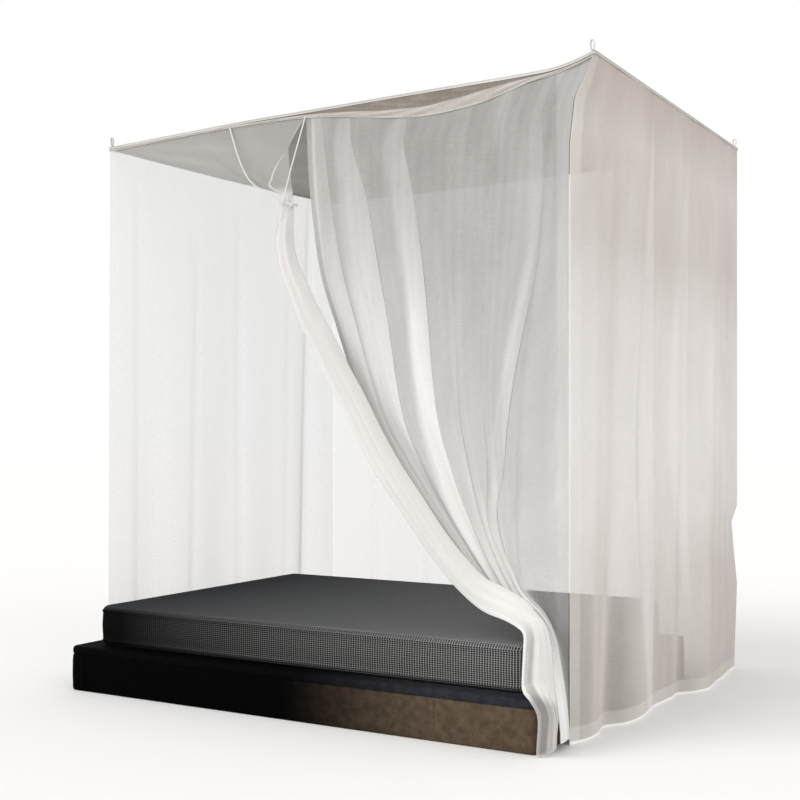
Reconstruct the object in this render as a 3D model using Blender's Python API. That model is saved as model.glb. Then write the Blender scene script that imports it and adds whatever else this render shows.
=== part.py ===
"""Mosquito net canopy, hung as a box over a low platform bed.

Metres, +Z up, +X toward the foot of the bed, -Y toward the near side, where the net opens.
The net is a flat roof with a wall at the foot, the head and the far side. The near side is two
curtains that meet at the middle of the top edge. The foot half is swept to the near foot corner of
the bed. The head half is gathered into a tie below the top edge and falls from there as a bunch to
the same corner, over the mattress and down to the floor.

Places on the net are written as (along, across, up), measured from the net's near foot corner on
the floor: along runs toward the head, across toward the far side.
"""

from collections import namedtuple

import bmesh
import bpy
import numpy as np

# Where the near foot corner of the net stands, so that the whole part is centred on the origin.
FOOT_X = 1.1115
NEAR_Y = -0.7186

NET_THICKNESS = 0.0015
GAP = 0.0003  # between pieces that touch
CLEAR = NET_THICKNESS + 2 * GAP  # from one sheet's middle to the next, face to face

NET_WIDTH = 1.70
TOP_FOOT = 2.40
ROOF_SAG = 0.035
EDGE_SAG = 0.010
LIP_DROP = 0.010  # the roof's turned-down edge
LIP_OUT = CLEAR + GAP
LIP_FLARE = 0.0012
TOP_GAP = 0.0030  # from the roof's middle to what hangs below it

BASE_LENGTH, BASE_WIDTH, BASE_HEIGHT = 2.15, 1.585, 0.184
BED_TURN = np.radians(3.0)  # the bed stands a little askew below the net
BASE_CORNER = (0.023, -0.196)  # its near foot corner, along and across
MATTRESS_INSET = 0.080
MATTRESS_HEIGHT = 0.166

# The near top edge of the net. Its foot end is pulled out and up by the corner's hanging loop.
TopPoint = namedtuple("TopPoint", "along up")
NEAR_EDGE = [
    TopPoint(-0.096, 2.400),
    TopPoint(-0.050, 2.385),
    TopPoint(0.000, 2.373),
    TopPoint(0.060, 2.364),
    TopPoint(0.150, 2.361),
    TopPoint(0.400, 2.361),
    TopPoint(0.700, 2.362),
    TopPoint(1.050, 2.362),
    TopPoint(1.420, 2.363),
    TopPoint(1.800, 2.358),
    TopPoint(2.100, 2.353),
    TopPoint(2.255, 2.350),
]
FAR_FOOT_TOP = (-0.018, NET_WIDTH, 2.380)
FAR_HEAD_TOP = (2.285, 1.710, 2.360)
ROOF_CELLS_ACROSS = 12

# The vertical corner seams: height as a share of the wall's height, then place.
Seam = namedtuple("Seam", "share along across")
NEAR_FOOT_SEAM = [
    Seam(1.0000, -0.096, 0.000),
    Seam(0.9375, -0.020, 0.000),
    Seam(0.8750, -0.002, 0.000),
    Seam(0.8000, 0.000, 0.000),
    Seam(0.0000, 0.000, 0.000),
]
FAR_FOOT_SEAM = [
    Seam(1.000, -0.018, NET_WIDTH),
    Seam(0.315, -0.018, NET_WIDTH),
    Seam(0.285, -0.014, 1.636),
    Seam(0.230, -0.016, 1.662),
    Seam(0.165, -0.018, NET_WIDTH),
    Seam(0.000, 0.000, 1.712),
]
NEAR_HEAD_EDGE = [Seam(1.0, 2.255, 0.000), Seam(0.0, 2.270, 0.004)]
FAR_HEAD_SEAM = [Seam(1.0, 2.285, 1.710), Seam(0.0, 2.280, 1.712)]

# How a wall bends along its hem: a place along the wall, how far the hem stands out there, and how
# much further along the bend is at the top, where it has faded out.
Bend = namedtuple("Bend", "at out lean")
FOOT_BENDS = [
    Bend(0.000, 0.000, 0.00),
    Bend(0.070, 0.022, 0.00),
    Bend(0.190, 0.020, 0.01),
    Bend(0.304, -0.004, 0.03),
    Bend(0.390, 0.038, 0.04),
    Bend(0.500, 0.048, 0.05),
    Bend(0.720, 0.016, 0.02),
    Bend(0.930, 0.012, 0.00),
    Bend(1.005, 0.004, 0.05),
    Bend(1.065, 0.042, 0.12),
    Bend(1.170, 0.069, 0.18),
    Bend(1.320, 0.050, 0.16),
    Bend(1.480, 0.032, 0.10),
    Bend(1.600, 0.012, 0.03),
    Bend(1.712, 0.000, 0.00),
]
FAR_BENDS = [
    Bend(0.000, 0.000, 0.00),
    Bend(0.150, 0.004, 0.00),
    Bend(0.300, 0.026, 0.02),
    Bend(0.440, 0.004, 0.00),
    Bend(0.640, 0.010, -0.04),
    Bend(0.860, 0.032, -0.06),
    Bend(1.030, 0.005, -0.02),
    Bend(1.220, 0.012, 0.04),
    Bend(1.420, 0.024, 0.06),
    Bend(1.600, 0.004, 0.03),
    Bend(1.780, 0.011, -0.02),
    Bend(1.950, 0.028, -0.05),
    Bend(2.120, 0.006, -0.02),
    Bend(2.300, 0.000, 0.00),
]
HEAD_BENDS = [
    Bend(0.000, 0.000, 0.00),
    Bend(0.140, 0.006, 0.00),
    Bend(0.280, 0.025, -0.05),
    Bend(0.440, 0.004, -0.02),
    Bend(0.620, 0.010, 0.03),
    Bend(0.820, 0.028, 0.04),
    Bend(1.000, 0.006, 0.02),
    Bend(1.200, 0.013, 0.00),
    Bend(1.370, 0.004, 0.01),
    Bend(1.480, 0.045, 0.02),
    Bend(1.590, 0.006, 0.01),
    Bend(1.712, 0.000, 0.00),
]

# The heading of the near side: how far it hangs below the top edge, and how tall its roll is.
Heading = namedtuple("Heading", "along drop roll")
HEADING = [
    Heading(-0.094, 0.020, 0.008),
    Heading(0.044, 0.026, 0.013),
    Heading(0.157, 0.036, 0.018),
    Heading(0.250, 0.058, 0.034),
    Heading(0.336, 0.078, 0.044),
    Heading(0.450, 0.091, 0.045),
    Heading(0.554, 0.097, 0.041),
    Heading(0.692, 0.090, 0.035),
    Heading(0.820, 0.073, 0.028),
    Heading(0.996, 0.047, 0.020),
    Heading(1.150, 0.031, 0.014),
    Heading(1.420, 0.022, 0.010),
    Heading(2.252, 0.020, 0.009),
]
ROLL_OUT = 0.0055

# A soft fold of a curtain: where it stands across the cloth, 0 at the side toward the head and 1 at
# the side toward the foot, and how high it is against the section's deepest fold.
Ridge = namedtuple("Ridge", "share height")
FOOT_HALF_RIDGES = [
    Ridge(0.035, 0.50),
    Ridge(0.150, 1.00),
    Ridge(0.345, 0.90),
    Ridge(0.540, 0.50),
    Ridge(0.740, 1.00),
    Ridge(0.895, 0.75),
    Ridge(0.975, 0.00),
]
HEAD_HALF_RIDGES = [
    Ridge(0.120, 0.70),
    Ridge(0.370, 1.00),
    Ridge(0.680, 0.85),
    Ridge(0.920, 0.45),
]
CELLS_PER_RIDGE = 6

# Cross-sections of the foot half, top to hem: its free edge, the height of its seam edge, its
# deepest fold, and where its corner fold stands, on a straight line from free edge to seam, and
# how far above that line. The cloth from the corner fold to the seam is a flat web.
CORNER_FOLD = 0.935
FootSection = namedtuple("FootSection", "along across up seam_up fold corner lift")
FOOT_HALF = [
    FootSection(1.153, 0.000, 2.330, 2.384, 0.006, 0.940, 0.000),
    FootSection(1.146, -0.001, 2.225, 2.250, 0.012, 0.940, 0.000),
    FootSection(1.137, -0.002, 2.090, 2.100, 0.018, 0.940, 0.000),
    FootSection(1.118, -0.002, 1.930, 1.920, 0.022, 0.925, 0.000),
    FootSection(1.080, 0.000, 1.710, 1.720, 0.026, 0.900, 0.000),
    FootSection(1.000, 0.000, 1.490, 1.500, 0.029, 0.860, 0.000),
    FootSection(0.925, 0.000, 1.300, 1.310, 0.031, 0.820, 0.000),
    FootSection(0.835, 0.000, 1.120, 1.120, 0.032, 0.780, 0.000),
    FootSection(0.712, 0.000, 0.958, 0.950, 0.033, 0.735, 0.000),
    FootSection(0.582, 0.000, 0.805, 0.800, 0.033, 0.660, 0.005),
    FootSection(0.445, -0.002, 0.652, 0.660, 0.030, 0.560, 0.015),
    FootSection(0.340, -0.004, 0.540, 0.545, 0.026, 0.450, 0.040),
    FootSection(0.262, -0.010, 0.468, 0.440, 0.021, 0.370, 0.070),
    FootSection(0.200, -0.026, 0.428, 0.360, 0.016, 0.360, 0.090),
    FootSection(0.140, -0.045, 0.405, 0.290, 0.010, 0.430, 0.100),
    FootSection(0.085, -0.066, 0.375, 0.225, 0.008, 0.560, 0.090),
    FootSection(0.048, -0.082, 0.310, 0.165, 0.009, 0.640, 0.070),
    FootSection(0.018, -0.094, 0.225, 0.120, 0.014, 0.740, 0.040),
    FootSection(-0.002, -0.100, 0.140, 0.085, 0.015, 0.820, 0.015),
    FootSection(-0.012, -0.102, 0.075, 0.052, 0.015, 0.860, 0.000),
    FootSection(-0.015, -0.103, 0.028, 0.026, 0.015, 0.880, 0.000),
]

# Cross-sections of the head half, top to hem: its two edges, its deepest fold, and how far the
# section bulges between its edges.
HeadSection = namedtuple("HeadSection", "along across up along_2 across_2 up_2 fold bulge")
HEAD_HALF = [
    HeadSection(2.235, 0.000, 2.329, 1.160, 0.000, 2.330, 0.006, 0.000),
    HeadSection(1.920, 0.000, 2.230, 1.172, 0.000, 2.208, 0.010, 0.000),
    HeadSection(1.600, 0.000, 2.132, 1.188, 0.000, 2.086, 0.014, 0.002),
    HeadSection(1.300, 0.000, 2.045, 1.208, 0.000, 2.035, 0.012, 0.004),
    HeadSection(1.286, -0.001, 2.008, 1.203, -0.001, 1.994, 0.012, 0.005),
    HeadSection(1.284, -0.003, 1.960, 1.199, -0.003, 1.945, 0.014, 0.007),
    HeadSection(1.287, -0.006, 1.899, 1.194, -0.006, 1.888, 0.018, 0.010),
    HeadSection(1.283, -0.010, 1.826, 1.182, -0.010, 1.822, 0.021, 0.013),
    HeadSection(1.250, -0.018, 1.714, 1.148, -0.018, 1.740, 0.024, 0.016),
    HeadSection(1.198, -0.026, 1.611, 1.094, -0.026, 1.660, 0.026, 0.018),
    HeadSection(1.137, -0.034, 1.496, 1.029, -0.034, 1.558, 0.027, 0.020),
    HeadSection(1.073, -0.040, 1.399, 0.963, -0.040, 1.466, 0.027, 0.020),
    HeadSection(1.001, -0.045, 1.280, 0.889, -0.045, 1.351, 0.027, 0.020),
    HeadSection(0.922, -0.048, 1.159, 0.809, -0.048, 1.231, 0.027, 0.020),
    HeadSection(0.836, -0.050, 1.018, 0.725, -0.050, 1.092, 0.027, 0.020),
    HeadSection(0.743, -0.052, 0.887, 0.639, -0.052, 0.968, 0.026, 0.020),
    HeadSection(0.638, -0.054, 0.764, 0.541, -0.054, 0.846, 0.025, 0.020),
    HeadSection(0.536, -0.056, 0.643, 0.446, -0.054, 0.725, 0.024, 0.018),
    HeadSection(0.443, -0.062, 0.547, 0.360, -0.052, 0.632, 0.022, 0.016),
    HeadSection(0.356, -0.074, 0.483, 0.290, -0.050, 0.572, 0.020, 0.014),
    HeadSection(0.279, -0.094, 0.448, 0.215, -0.048, 0.540, 0.018, 0.013),
    HeadSection(0.187, -0.122, 0.430, 0.135, -0.052, 0.497, 0.017, 0.013),
    HeadSection(0.133, -0.134, 0.411, 0.085, -0.070, 0.456, 0.016, 0.014),
    HeadSection(0.104, -0.147, 0.392, 0.040, -0.085, 0.413, 0.015, 0.015),
    HeadSection(0.100, -0.153, 0.345, 0.013, -0.100, 0.355, 0.014, 0.016),
    HeadSection(0.099, -0.160, 0.275, -0.004, -0.113, 0.300, 0.014, 0.017),
    HeadSection(0.093, -0.174, 0.222, -0.011, -0.122, 0.245, 0.014, 0.018),
    HeadSection(0.074, -0.200, 0.200, -0.014, -0.129, 0.200, 0.013, 0.019),
    HeadSection(0.045, -0.212, 0.176, -0.016, -0.132, 0.160, 0.012, 0.020),
    HeadSection(0.022, -0.213, 0.142, -0.016, -0.132, 0.122, 0.012, 0.018),
    HeadSection(0.018, -0.211, 0.100, -0.015, -0.131, 0.090, 0.011, 0.014),
    HeadSection(0.022, -0.209, 0.050, -0.013, -0.129, 0.056, 0.011, 0.012),
    HeadSection(0.025, -0.208, 0.000, -0.011, -0.128, 0.024, 0.011, 0.012),
]

# The tie is a turn of tape round the gathered curtain, higher at its head side, with a short tail.
# Two thin tapes come down to it from the top edge, and the middle one ends over the bunch.
TIE_MIDDLE = (1.2450, -0.0085, 2.0040)
TIE_HALF_WIDTH, TIE_HALF_DEPTH, TIE_SLOPE = 0.0500, 0.0190, 0.30
TAPE_WIDTH, TAPE_THICKNESS = 0.010, 0.0015
THIN_TAPE_WIDTH = 0.006
Route = namedtuple("Route", "along across up")
TIE_TAPE_MIDDLE = [
    Route(1.151, -0.0067, 2.3390),
    Route(1.205, -0.0240, 2.1500),
    Route(1.240, -0.0340, 2.0200),
    Route(1.262, -0.0375, 1.9500),
    Route(1.284, -0.0280, 1.8900),
]
TIE_TAPE_HEAD = [
    Route(1.547, -0.0067, 2.3460),
    Route(1.478, -0.0270, 2.2000),
    Route(1.412, -0.0290, 2.1000),
    Route(1.300, -0.0300, 2.0330),
]
TIE_TAIL = [
    Route(1.213, -0.0340, 1.9800),
    Route(1.198, -0.0370, 1.9860),
    Route(1.192, -0.0360, 2.0020),
    Route(1.203, -0.0350, 2.0160),
]
# Loops on the top corners: which way the net lies from the corner, and how far the roof's cloth has
# dropped or risen at the loop's foot.
LOOP_HEIGHT, LOOP_HALF_WIDTH, LOOP_TAPE = 0.040, 0.009, 0.010
Loop = namedtuple("Loop", "name corner inward rise")
CORNER_LOOPS = [
    Loop("corner_loop_near_foot", (-0.096, 0.0, 2.400), (1, 1), -0.0032),
    Loop("corner_loop_far_foot", FAR_FOOT_TOP, (1, -1), 0.0000),
    Loop("corner_loop_near_head", (2.255, 0.0, 2.350), (-1, 1), 0.0002),
    Loop("corner_loop_far_head", FAR_HEAD_TOP, (-1, -1), 0.0000),
]

NET_COLOUR = (0.86, 0.84, 0.82, 1.0)
BASE_COLOUR = (0.045, 0.036, 0.030, 1.0)
MATTRESS_COLOUR = (0.050, 0.050, 0.055, 1.0)


# ---------------------------------------------------------------- helpers
def clear_scene():
    for old in list(bpy.data.objects):
        bpy.data.objects.remove(old, do_unlink=True)


def material(name, colour, roughness):
    made = bpy.data.materials.new(name)
    made.use_nodes = True
    shader = made.node_tree.nodes["Principled BSDF"]
    shader.inputs["Base Color"].default_value = colour
    shader.inputs["Roughness"].default_value = roughness
    shader.inputs["Metallic"].default_value = 0.0
    return made


def to_world(places):
    """(along, across, up) to (x, y, z)."""
    places = np.asarray(places, float)
    return np.stack((FOOT_X - places[..., 0], NEAR_Y + places[..., 1], places[..., 2]), axis=-1)


def grid_faces(rows, columns, closed=False):
    """Quads of a grid of points; closed joins the last column to the first."""
    index = np.arange(rows * columns).reshape(rows, columns)
    right = np.roll(index, -1, axis=1) if closed else index[:, 1:]
    left = index if closed else index[:, :-1]
    return np.stack((left[:-1], right[:-1], right[1:], left[1:]), axis=-1).reshape(-1, 4)


def add_object(name, points, faces, look):
    mesh = bpy.data.meshes.new(name)
    mesh.from_pydata(np.asarray(points).tolist(), [], [list(map(int, face)) for face in faces])
    shape = bmesh.new()
    shape.from_mesh(mesh)
    bmesh.ops.recalc_face_normals(shape, faces=shape.faces)
    shape.to_mesh(mesh)
    shape.free()
    mesh.shade_smooth()
    made = bpy.data.objects.new(name, mesh)
    made.data.materials.append(look)
    bpy.context.scene.collection.objects.link(made)
    return made


def sheet(name, places, look):
    """A cloth sheet with its middle on a grid of places."""
    rows, columns = places.shape[:2]
    made = add_object(name, to_world(places).reshape(-1, 3), grid_faces(rows, columns), look)
    cloth = made.modifiers.new("cloth", "SOLIDIFY")
    cloth.thickness = NET_THICKNESS
    cloth.offset = 0.0
    return made


def swept(name, rings, look, closed=False):
    """A solid through rings of places. It is capped at both ends, or closed on itself."""
    count, around = rings.shape[:2]
    points = to_world(rings).reshape(-1, 3)
    if closed:
        rings_of = grid_faces(count + 1, around, closed=True) % (count * around)
        return add_object(name, points, rings_of, look)
    faces = [list(face) for face in grid_faces(count, around, closed=True)]
    faces.append(list(range(around)))
    faces.append(list(range((count - 1) * around, count * around)))
    return add_object(name, points, faces, look)


def smooth(keys, values, at):
    """A smooth curve through values at keys, read at other places."""
    keys, values = np.asarray(keys, float), np.asarray(values, float)
    slopes = np.gradient(values, keys, axis=0)
    low = np.clip(np.searchsorted(keys, at, side="right") - 1, 0, len(keys) - 2)
    span = keys[low + 1] - keys[low]
    f = np.clip((at - keys[low]) / span, 0, 1)
    if values.ndim > 1:
        f, span = f[:, None], span[:, None]
    start = (1 + 2 * f) * (1 - f) ** 2 * values[low] + f * (1 - f) ** 2 * span * slopes[low]
    end = f * f * (3 - 2 * f) * values[low + 1] + f * f * (f - 1) * span * slopes[low + 1]
    return start + end


def seam_at(seam, share):
    """Along and across of a seam at a share of the wall's height."""
    rows = np.array(seam)[::-1]
    return np.stack([np.interp(share, rows[:, 0], rows[:, k]) for k in (1, 2)], axis=-1)


def near_top(along):
    edge = np.array(NEAR_EDGE)
    return np.interp(along, edge[:, 0], edge[:, 1])


def heading_drop(along):
    rows = np.array(HEADING)
    return np.interp(along, rows[:, 0], rows[:, 1])


# ---------------------------------------------------------------- roof
def roof_edges():
    """The four top edges as point lists: near and far from foot to head, foot and head across."""
    near = np.array([(point.along, 0.0, point.up) for point in NEAR_EDGE])
    run = (near[:, 0] - near[0, 0]) / (near[-1, 0] - near[0, 0])
    cross = np.linspace(0, 1, ROOF_CELLS_ACROSS + 1)

    def line(start, end, share):
        start, end = np.asarray(start), np.asarray(end)
        points = start + (end - start) * share[:, None]
        points[:, 2] -= EDGE_SAG * np.sin(np.pi * share)
        return points

    foot = near[0] + (np.array(FAR_FOOT_TOP) - near[0]) * cross[:, None]
    far = line(FAR_FOOT_TOP, FAR_HEAD_TOP, run)
    head = line(near[-1], FAR_HEAD_TOP, cross)
    return near, far, foot, head, run, cross


def roof_panel(look):
    """The roof sags between its edges and turns down at them as a lip."""
    near, far, foot, head, run, cross = roof_edges()
    u, v = run[:, None, None], cross[None, :, None]
    sides = (1 - v) * near[:, None] + v * far[:, None] + (1 - u) * foot[None] + u * head[None]
    corners = (1 - u) * (1 - v) * near[0] + (1 - u) * v * foot[-1]
    corners = corners + u * (1 - v) * near[-1] + u * v * head[-1]
    places = sides - corners
    places[..., 2] -= ROOF_SAG * np.sin(np.pi * run)[:, None] * np.sin(np.pi * cross)[None]
    places[0, :, 0] -= LIP_OUT
    places[-1, :, 0] += LIP_OUT
    places[:, 0, 1] -= LIP_OUT
    places[:, -1, 1] += LIP_OUT
    lipped = np.pad(places, ((1, 1), (1, 1), (0, 0)), mode="edge")
    lipped[0, :, 0] -= LIP_FLARE
    lipped[-1, :, 0] += LIP_FLARE
    lipped[:, 0, 1] -= LIP_FLARE
    lipped[:, -1, 1] += LIP_FLARE
    rim = np.ones(lipped.shape[:2], bool)
    rim[1:-1, 1:-1] = False
    lipped[rim, 2] -= LIP_DROP
    sheet("roof_panel", lipped, look)


# ---------------------------------------------------------------- walls
def wall(name, look, edge, seams, bends, rows, columns, outward):
    """A hanging wall: its top on a roof edge, its ends on two seams, its hem waving on the floor.

    rows are heights as shares of the wall's height. outward is the index of the coordinate that
    the wall faces, and its sign.
    """
    axis, sign = outward
    other = 1 - axis
    share = np.linspace(0, 1, columns + 1)
    height = np.array(rows)
    edge_share = edge_run(edge, other)
    top = np.stack([np.interp(share, edge_share, edge[:, k]) for k in range(3)], axis=-1)
    first, last = (seam_at(seam, height) for seam in seams)
    c, h = share[None, :, None], height[:, None, None]
    hem = first[-1] + (last[-1] - first[-1]) * c
    places = np.zeros((len(rows), columns + 1, 3))
    places[..., :2] = hem * (1 - h) + top[None, :, :2] * h
    for seam, nearness in ((first, (1 - c) ** 10), (last, c**10)):
        straight = seam[-1] * (1 - h[..., 0]) + seam[0] * h[..., 0]
        places[..., :2] += (seam - straight)[:, None] * nearness
    at, out, lean = np.array(bends).T
    for row, up in enumerate(height):
        bend = smooth(at + lean * up, out, share * at[-1])
        places[row, :, axis] += sign * bend * (1 - up) ** 0.9
    places[..., 2] = height[:, None] * (top[None, :, 2] - TOP_GAP)
    places[:, 0, other] += CLEAR
    places[:, -1, other] -= CLEAR
    sheet(name, places, look)


def edge_run(edge, axis):
    """How far along each point of an edge lies, from 0 to 1."""
    steps = edge[:, axis] - edge[0, axis]
    return steps / steps[-1]


# ---------------------------------------------------------------- near side
def near_top_band(look):
    """The heading: a flat strip below the top edge with a roll along its lower side."""
    marks = sorted({row.along for row in HEADING} | {point.along for point in NEAR_EDGE})
    along = np.array([mark for mark in marks if HEADING[0].along <= mark <= HEADING[-1].along])
    rows = np.array(HEADING)
    drop = np.interp(along, rows[:, 0], rows[:, 1])
    roll = np.interp(along, rows[:, 0], rows[:, 2])
    top = near_top(along)
    low = top - drop
    half = NET_THICKNESS / 2
    profile = (
        (half, top - TOP_GAP),
        (half, low + roll),
        (half + 0.0008, low + 0.5 * roll),
        (half, low + 0.1 * roll),
        (-0.45 * ROLL_OUT, low),
        (-ROLL_OUT, low + 0.30 * roll),
        (-ROLL_OUT, low + 0.62 * roll),
        (-0.5 * ROLL_OUT, low + 0.90 * roll),
        (-half, low + roll + 0.001),
        (-half, top - TOP_GAP),
    )
    rings = np.array([[(a, y, z[i]) for y, z in profile] for i, a in enumerate(along)])
    swept("near_top_band", rings, look)


def pleated(left, right, ridges, fold, bulge, corner, lift):
    """A grid of places between two edges, with soft folds that stand out from it."""
    count = len(ridges)
    stops = np.zeros(2 * count + 1)
    stops[1::2] = [ridge.share for ridge in ridges]
    stops[2:-1:2] = (stops[1:-2:2] + stops[3::2]) / 2
    stops[-1] = 1.0
    phase = np.linspace(0, count, count * CELLS_PER_RIDGE + 1)
    share = np.interp(phase, np.arange(2 * count + 1) / 2, stops)
    spread = [np.interp(share, (0, CORNER_FOLD, 1), (0, place, 1)) for place in corner]
    base = left[:, None] + (right - left)[:, None] * np.array(spread)[..., None]
    base[..., 2] += lift[:, None] * np.minimum(share / CORNER_FOLD, (1 - share) / (1 - CORNER_FOLD))
    facing = np.cross(np.gradient(base, axis=1), np.gradient(base, axis=0))
    facing /= np.linalg.norm(facing, axis=-1, keepdims=True)
    height = np.array([ridge.height for ridge in ridges])[np.minimum(phase.astype(int), count - 1)]
    wave = height * (1 - np.cos(2 * np.pi * phase)) / 2
    out = fold[:, None] * wave + bulge[:, None] * np.sin(np.pi * share)
    return base, facing * out[..., None]


def near_curtain_foot(look):
    """The foot half: from the heading to the corner of the bed, then over it to the floor."""
    rows = np.array(FOOT_HALF)
    up, fold, corner, lift = rows[:, 3:].T
    seam = seam_at(NEAR_FOOT_SEAM, up / TOP_FOOT)
    right = np.column_stack((seam[:, 0] + CLEAR, seam[:, 1], up))
    none = np.zeros(len(rows))
    base, folds = pleated(rows[:, :3], right, FOOT_HALF_RIDGES, fold, none, corner, lift)
    sheet("near_curtain_foot", under_heading(base) + folds, look)


def near_curtain_head(look):
    """The head half: gathered to the tie, then a bunch that falls over the corner of the bed."""
    rows = np.array(HEAD_HALF)
    fold, bulge = rows[:, 6:].T
    none = np.zeros(len(rows))
    even = np.full(len(rows), CORNER_FOLD)
    base, folds = pleated(rows[:, :3], rows[:, 3:6], HEAD_HALF_RIDGES, fold, bulge, even, none)
    sheet("near_curtain_head", under_heading(base) + folds, look)


def under_heading(base):
    """The curtain's top edge follows the heading's lower side, less and less down to the fourth row."""
    hung = base.copy()
    below = near_top(base[0, :, 0]) - heading_drop(base[0, :, 0]) - 5 * GAP - base[0, :, 2]
    for row, share in enumerate((1.0, 0.75, 0.40, 0.10)):
        hung[row, :, 2] += share * below
    return hung


# ---------------------------------------------------------------- ties and loops
def tie_band(look):
    """A turn of tape: two flat sides and two round ends, aslant, closed on itself."""
    angle = np.linspace(0, 2 * np.pi, 24, endpoint=False)
    flat = TIE_HALF_WIDTH - TIE_HALF_DEPTH
    along = TIE_HALF_DEPTH * np.cos(angle) + flat * np.sign(np.round(np.cos(angle), 6))
    across = TIE_HALF_DEPTH * np.sin(angle)
    out = np.stack((np.cos(angle), np.sin(angle)), axis=-1) * TAPE_THICKNESS / 2
    middle = np.array(TIE_MIDDLE)
    rings = []
    for side, edge in ((-1, -1), (1, -1), (1, 1), (-1, 1)):
        place = (along + side * out[:, 0], across + side * out[:, 1],
                 edge * TAPE_WIDTH / 2 + TIE_SLOPE * along)
        rings.append(middle + np.stack(place, axis=-1))
    swept("tie_band", np.stack(rings, axis=1), look, closed=True)


def ribbon(name, route, look, pieces=8):
    """A narrow tape along a route, its flat side facing the near side."""
    steps = np.arange(len(route))
    middle = smooth(steps, route, np.linspace(0, steps[-1], pieces + 1))
    ahead = np.gradient(middle, axis=0)
    sideways = np.cross(ahead, (0.0, 1.0, 0.0))
    sideways /= np.linalg.norm(sideways, axis=1, keepdims=True)
    depth = np.array((0.0, TAPE_THICKNESS / 2, 0.0))
    half = sideways * THIN_TAPE_WIDTH / 2
    rings = np.stack((middle - half - depth, middle + half - depth, middle + half + depth,
                      middle - half + depth), axis=1)
    swept(name, rings, look)


def corner_loop(loop, look):
    """A loop of tape standing on a top corner, for the cord or hook that carries the net."""
    angle = np.linspace(0, 2 * np.pi, 12, endpoint=False)
    rise = LOOP_HEIGHT / 2 * (1 - np.cos(angle))
    side = LOOP_HALF_WIDTH * np.sin(angle) * (0.55 + 0.45 * rise / LOOP_HEIGHT)
    toward = np.array(loop.inward) * (LOOP_HALF_WIDTH + TAPE_THICKNESS, LOOP_TAPE / 2 + GAP)
    along, across = np.array(loop.corner[:2]) + toward
    base = loop.corner[2] + loop.rise + (NET_THICKNESS + TAPE_THICKNESS) / 2 + GAP
    rings = []
    for out, edge in ((-1, -1), (1, -1), (1, 1), (-1, 1)):
        grow = 1 + out * TAPE_THICKNESS / (2 * LOOP_HALF_WIDTH)
        place = (along + side * grow, np.full(12, across + edge * LOOP_TAPE / 2),
                 base + rise - out * TAPE_THICKNESS / 2 * np.cos(angle))
        rings.append(np.stack(place, axis=-1))
    swept(loop.name, np.stack(rings, axis=1), look, closed=True)


# ---------------------------------------------------------------- bed
def bed_block(name, length, width, low, high, rounding, look):
    """A box with rounded edges, turned with the bed and centred on the platform."""
    toward_head = np.array((np.cos(BED_TURN), -np.sin(BED_TURN)))
    toward_far = np.array((np.sin(BED_TURN), np.cos(BED_TURN)))
    middle = np.array(BASE_CORNER) + toward_head * BASE_LENGTH / 2 + toward_far * BASE_WIDTH / 2
    mesh = bpy.data.meshes.new(name)
    shape = bmesh.new()
    bmesh.ops.create_cube(shape, size=1.0)
    bmesh.ops.scale(shape, vec=(length, width, high - low), verts=shape.verts)
    shape.to_mesh(mesh)
    shape.free()
    mesh.materials.append(look)
    made = bpy.data.objects.new(name, mesh)
    made.location = (FOOT_X - middle[0], NEAR_Y + middle[1], (low + high) / 2)
    made.rotation_euler = (0.0, 0.0, BED_TURN)
    edges = made.modifiers.new("rounded edges", "BEVEL")
    edges.width = rounding
    edges.segments = 4
    bpy.context.scene.collection.objects.link(made)


def main():
    clear_scene()
    net = material("net", NET_COLOUR, 0.8)
    tape = material("tape", NET_COLOUR, 0.7)
    leather = material("platform", BASE_COLOUR, 0.45)
    ticking = material("mattress cover", MATTRESS_COLOUR, 0.9)

    near, far, foot, head, _, _ = roof_edges()
    roof_panel(net)
    foot_rows = (1.0, 0.9375, 0.875, 0.80, 0.65, 0.50, 0.40, 0.315, 0.285, 0.23, 0.165, 0.08, 0.0)
    plain_rows = (1.0, 0.65, 0.40, 0.315, 0.285, 0.23, 0.165, 0.0)
    foot_seams = (NEAR_FOOT_SEAM, FAR_FOOT_SEAM)
    wall("foot_wall", net, foot, foot_seams, FOOT_BENDS, foot_rows, 46, (0, -1))
    far_seams = (FAR_FOOT_SEAM, FAR_HEAD_SEAM)
    wall("far_wall", net, far, far_seams, FAR_BENDS, plain_rows, 44, (1, 1))
    head_seams = (NEAR_HEAD_EDGE, FAR_HEAD_SEAM)
    wall("head_wall", net, head, head_seams, HEAD_BENDS, plain_rows, 36, (0, 1))
    near_top_band(net)
    near_curtain_foot(net)
    near_curtain_head(net)
    tie_band(tape)
    ribbon("tie_tape_middle", TIE_TAPE_MIDDLE, tape)
    ribbon("tie_tape_head", TIE_TAPE_HEAD, tape)
    ribbon("tie_tail", TIE_TAIL, tape)
    for loop in CORNER_LOOPS:
        corner_loop(loop, tape)

    mattress_low = BASE_HEIGHT + GAP
    inner = 2 * MATTRESS_INSET
    bed_block("bed_base", BASE_LENGTH, BASE_WIDTH, 0.0, BASE_HEIGHT, 0.014, leather)
    bed_block("mattress", BASE_LENGTH - inner, BASE_WIDTH - inner, mattress_low,
              mattress_low + MATTRESS_HEIGHT, 0.032, ticking)


main()
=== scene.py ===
# %% [markdown]
# # A mosquito net over a low bed
# A box net is six panels of very open cloth. It hangs from four loops at its top corners, and its
# long near side is cut into two curtains. Here both are drawn aside: one half is swept to the foot
# corner of the bed, the other is gathered into a tie and falls to the same corner as a bunch.
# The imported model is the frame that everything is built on, so it is loaded first.

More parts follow.
